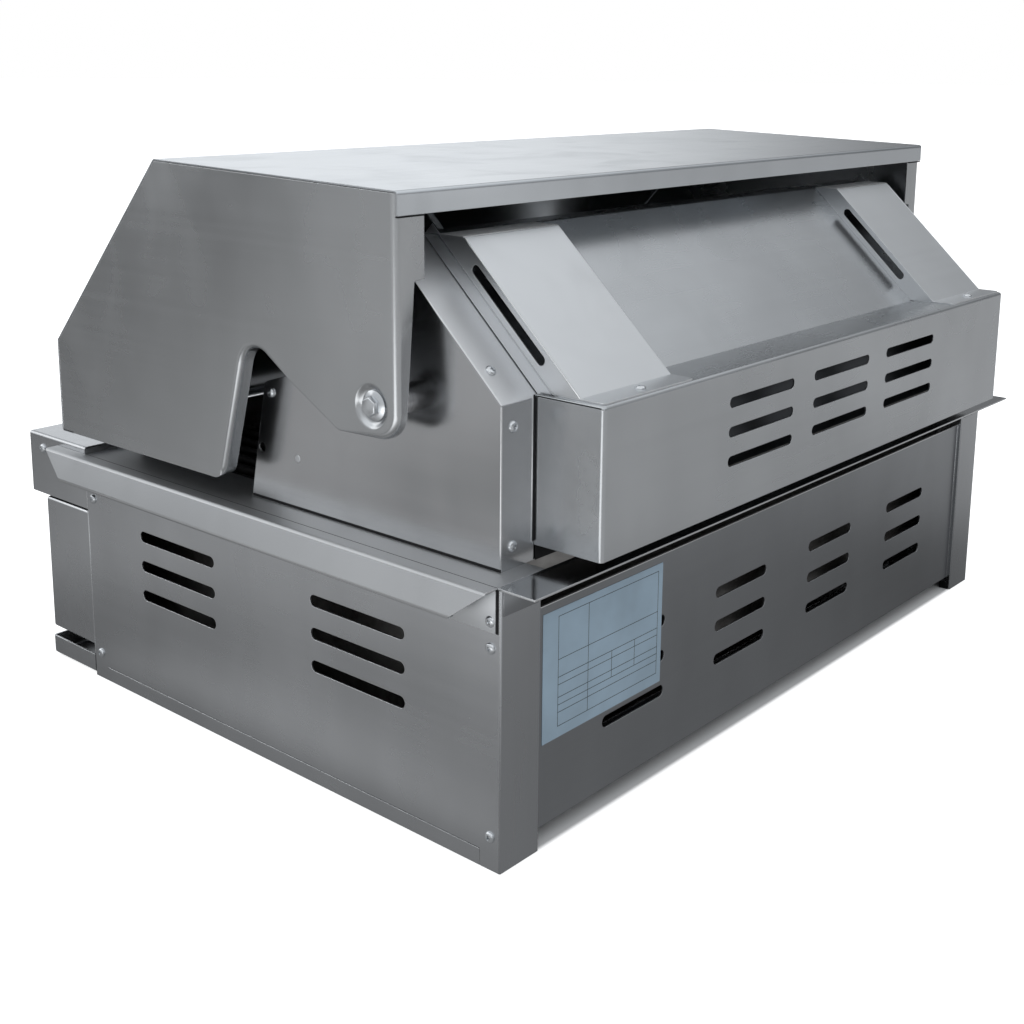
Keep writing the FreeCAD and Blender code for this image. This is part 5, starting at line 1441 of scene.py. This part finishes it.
# Firebox
@dataclass
class Firebox:
    """The cooking chamber: liners, burners, tamers, grates, rack and the gas train."""

    palette: Palette
    bars: int = 12
    bar: float = 8.0 * MM
    bar_inset: float = 1.0 * MM
    bar_round: float = 2.6 * MM
    rim: float = 16.0 * MM
    rim_drop: float = 1.2 * MM
    rim_round: float = 2.0 * MM
    cross_drop: float = 4.0 * MM
    tiles: int = 5
    tile_gap: float = 0.4 * MM
    tile_round: float = 1.0 * MM

    def make(self) -> None:
        """Dress the chamber."""
        dress = self.palette.dress
        dress(Finish.INNER, "firebox_liners", "firebox_front", "firebox_back")
        dress(Finish.BURNER, "main_burners", "flame_tamers")
        dress(Finish.BOX, "rear_burner_body")
        dress(Finish.CHROME, "warming_rack")
        dress(Finish.BUSH, "rack_brackets", "gas_manifold")
        dress(Finish.BRASS, "gas_valves", "gas_inlet")
        for name in ("left", "middle", "right"):
            self.grate(name)
        self.burner_tiles()

    def grate(self, name: str) -> None:
        """Replace one grate with rounded cast bars.

        Args:
            name: Which grate.
        """
        node = "cooking_grate_" + name
        low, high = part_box(node)
        inset = self.bar_inset
        body = Body()
        pitch = (high.x - low.x - self.bar) / (self.bars - 1)
        for index in range(self.bars):
            x = low.x + index * pitch
            body.block((x, low.y + inset, low.z + inset), (x + self.bar, high.y - inset, high.z),
                       self.bar_round, 3)
        for y in (low.y, high.y - self.rim):
            body.block((low.x, y, low.z), (high.x, y + self.rim, high.z - self.rim_drop), self.rim_round, 3)
        middle = (low.y + high.y - self.rim) / 2
        body.block((low.x + inset, middle, low.z),
                   (high.x - inset, middle + self.rim, high.z - self.cross_drop), self.rim_round, 3)
        body.piece("grate_" + name, self.palette[Finish.IRON], "cabinet", "grate_iron", [node])

    def burner_tiles(self) -> None:
        """Replace the rear burner's tile with a row of ceramic blocks."""
        low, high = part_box("rear_burner_tile")
        body = Body()
        width = (high.x - low.x) / self.tiles
        for index in range(self.tiles):
            x = low.x + index * width
            body.block((x + self.tile_gap, low.y, low.z), (x + width - self.tile_gap, high.y, high.z),
                       self.tile_round)
        body.piece("burner_tiles", self.palette[Finish.TILE], "cabinet", "tile_ceramic",
                   ["rear_burner_tile"])


# Studio
@dataclass(frozen=True)
class Softbox:
    """A rectangle of soft light."""

    name: str
    place: Point
    aim: Point
    width: float
    height: float
    power: float

    def hang(self) -> None:
        """Hang it where the camera doesn't see it."""
        data = bpy.data.lights.new(self.name, "AREA")
        data.shape = "RECTANGLE"
        data.size = self.width
        data.size_y = self.height
        data.energy = self.power
        made = bpy.data.objects.new(self.name, data)
        bpy.context.scene.collection.objects.link(made)
        made.location = self.place
        made.rotation_euler = (Vector(self.aim) - Vector(self.place)).to_track_quat("-Z", "Y").to_euler()
        made.visible_camera = False


@dataclass(frozen=True)
class Lobe:
    """A part of the surround that is paler, or darker where its gain is below zero."""

    axis: Point
    low: float
    high: float
    gain: float

    def light(self, graph: Graph, ray: Wire) -> Wire:
        """Give its light along a ray."""
        return graph.dot(ray, self.axis).band(self.low, self.high) * self.gain


@dataclass
class Studio:
    """Floor, soft lights, surround and the camera."""

    reach: float = 40.0
    floor_drop: float = 0.4 * MM
    cabinet_half: float = 0.40
    cabinet_middle: float = 0.035
    cabinet_reach: float = 0.255
    lane_middle: float = 0.33
    dip_place: Point = (1.08, -0.30, 0.0)
    camera_place: Point = (1.0931, 0.8976, 0.5729)
    camera_azimuth: float = 130.85
    camera_pitch: float = -11.85
    camera_roll: float = 0.44
    lens: float = 49.83
    sensor: float = 36.0
    shift: float = -0.15
    ambient: float = 0.20
    lights: tuple[Softbox, ...] = (
        Softbox("overhead_box", (0.3, 0.3, 3.2), (0.0, 0.0, 0.0), 2.4, 2.4, 8.0),
        Softbox("front_right_box", (2.0, -3.0, 1.8), (0.2, 0.0, 0.25), 2.0, 1.8, 10.0),
    )
    ceiling: Lobe = Lobe((0.0, 0.0, 1.0), 0.30, 0.75, 0.80)
    zenith: Lobe = Lobe((0.0, 0.0, 1.0), 0.82, 0.96, -0.55)
    front_left: Lobe = Lobe((-0.6, -0.8, 0.0), 0.86, 0.99, 0.85)
    front_right: Lobe = Lobe((0.8, -0.6, 0.0), 0.35, 0.85, 0.42)
    rear_left: Lobe = Lobe((-0.597, 0.697, 0.398), 0.90, 0.99, 0.30)
    rear_right: Lobe = Lobe((0.69, 0.69, 0.22), 0.80, 0.97, 0.50)

    def make(self) -> None:
        """Build the studio."""
        self.floor()
        self.surround()
        for box in self.lights:
            box.hang()
        self.camera()

    def floor(self) -> None:
        """Lay a pale floor that glows: the steel sees a graded glow that is paler to the right, the camera an
        even pale glow, and neither glows under the cabinet, which paints shade there.
        """
        bm = bmesh.new()
        bmesh.ops.create_circle(bm, cap_ends=True, segments=64, radius=self.reach)
        mesh = bpy.data.meshes.new("studio_floor")
        bm.to_mesh(mesh)
        bm.free()
        mesh.materials.append(self.floor_finish())
        made = bpy.data.objects.new("studio_floor", mesh)
        bpy.context.scene.collection.objects.link(made)
        made.location.z = -self.floor_drop

    def floor_finish(self) -> bpy.types.Material:
        """Make the floor's finish.

        Returns:
            A material that glows pale to the camera and glows graded to the steel, with no glow under the
            cabinet's footprint: painted shade there.
        """
        g = Graph.of("studio_floor")
        spot = g.node("ShaderNodeTexCoord", out="Object")
        side = g.dot(spot, (0.5, 0.5, 0.0))
        across = g.dot(spot, (1.0, 0.0, 0.0))
        along = g.dot(spot, (0.0, 1.0, 0.0))
        ahead = g.dot(spot, (-0.8, -0.6, 0.0))
        reach = g.node("ShaderNodeVectorMath", {"operation": "LENGTH"}, {0: spot}, "Value")
        # No glow within the cabinet's footprint: painted shade under the cabinet.
        beyond = (along - self.cabinet_middle).math("ABSOLUTE") - self.cabinet_reach
        outside = (across.math("ABSOLUTE") - self.cabinet_half).math("MAXIMUM", beyond).band(-0.004, 0.002)
        # A bright lane to the right, brighter ground near the side and a darker dip: painted light and shade in
        # the glow that the steel reflects.
        lane = across.band(0.70, 1.10) * (1.0 - across.band(1.7, 2.8))
        lane = lane * (1.0 - (along - self.lane_middle).math("ABSOLUTE").band(0.28, 0.48))
        close = across.band(0.41, 0.46) * (1.0 - reach.band(0.46, 0.56))
        level = 0.08 + side.band(-0.42, 0.38) * 0.46
        level = level * (0.53 + close * 0.27 + reach.band(0.58, 0.85) * 0.47)
        dip = g.node("ShaderNodeVectorMath", {"operation": "DISTANCE"}, {0: spot, 1: self.dip_place},
                     "Value")
        level = level * (0.55 + dip.band(0.12, 0.40) * 0.45)
        level = (level + ahead.band(0.05, 0.60) * 0.40 + lane * 1.4) * outside
        glow_to_steel = g.node("ShaderNodeEmission", {}, {"Color": (0.97, 0.985, 1.0, 1.0), "Strength": level})
        pale = g.node("ShaderNodeBsdfDiffuse", {}, {"Color": (0.88, 0.88, 0.88, 1.0)})
        glow = g.node("ShaderNodeEmission", {}, {"Color": (1.0, 1.0, 1.0, 1.0), "Strength": outside * 0.74})
        lit = g.node("ShaderNodeAddShader", {}, {0: pale, 1: glow})
        seen = g.node("ShaderNodeLightPath", out="Is Camera Ray")
        return g.close(g.node("ShaderNodeMixShader", {}, {0: seen, 1: glow_to_steel, 2: lit}))

    def surround(self) -> None:
        """Light the surround like a large room with a pale front left and ceiling."""
        g = Graph(bpy.data.worlds.new("studio_surround"))
        ray = g.node("ShaderNodeTexCoord", out="Generated")
        level = self.ambient
        for lobe in (self.ceiling, self.zenith, self.front_left, self.front_right, self.rear_left,
                     self.rear_right):
            level = level + lobe.light(g, ray)
        room = g.node("ShaderNodeBackground", {}, {"Color": (0.94, 0.97, 1.0, 1.0), "Strength": level})
        pale = g.node("ShaderNodeBackground", {}, {"Color": (1.0, 1.0, 1.0, 1.0), "Strength": 1.0})
        seen = g.node("ShaderNodeLightPath", out="Is Camera Ray")
        mixed = g.node("ShaderNodeMixShader", {}, {0: seen, 1: room, 2: pale})
        bpy.context.scene.world = g.close(mixed, "ShaderNodeOutputWorld")
        bpy.context.scene.view_settings.view_transform = "Standard"

    def camera(self) -> None:
        """Stand the camera where the photograph was taken."""
        data = bpy.data.cameras.new("camera")
        data.lens = self.lens
        data.sensor_width = self.sensor
        data.shift_y = self.shift
        made = bpy.data.objects.new("camera", data)
        bpy.context.scene.collection.objects.link(made)
        azimuth, pitch = math.radians(self.camera_azimuth), math.radians(self.camera_pitch)
        level = math.cos(pitch)
        ahead = Vector((-math.sin(azimuth) * level, math.cos(azimuth) * level, math.sin(pitch)))
        turn = ahead.to_track_quat("-Z", "Y").to_matrix().to_4x4()
        roll = Matrix.Rotation(math.radians(self.camera_roll), 4, "Z")
        made.matrix_world = Matrix.Translation(self.camera_place) @ turn @ roll
        bpy.context.scene.camera = made


def main() -> None:
    """Dress the grill and build the studio."""
    logging.basicConfig(level=logging.INFO, format="%(message)s")
    palette = Palette()
    for assembly in (Cabinet, Trim, Front, Firebox, Hood, Fasteners):
        assembly(palette).make()
    Studio().make()


if __name__ == "__main__":
    main()
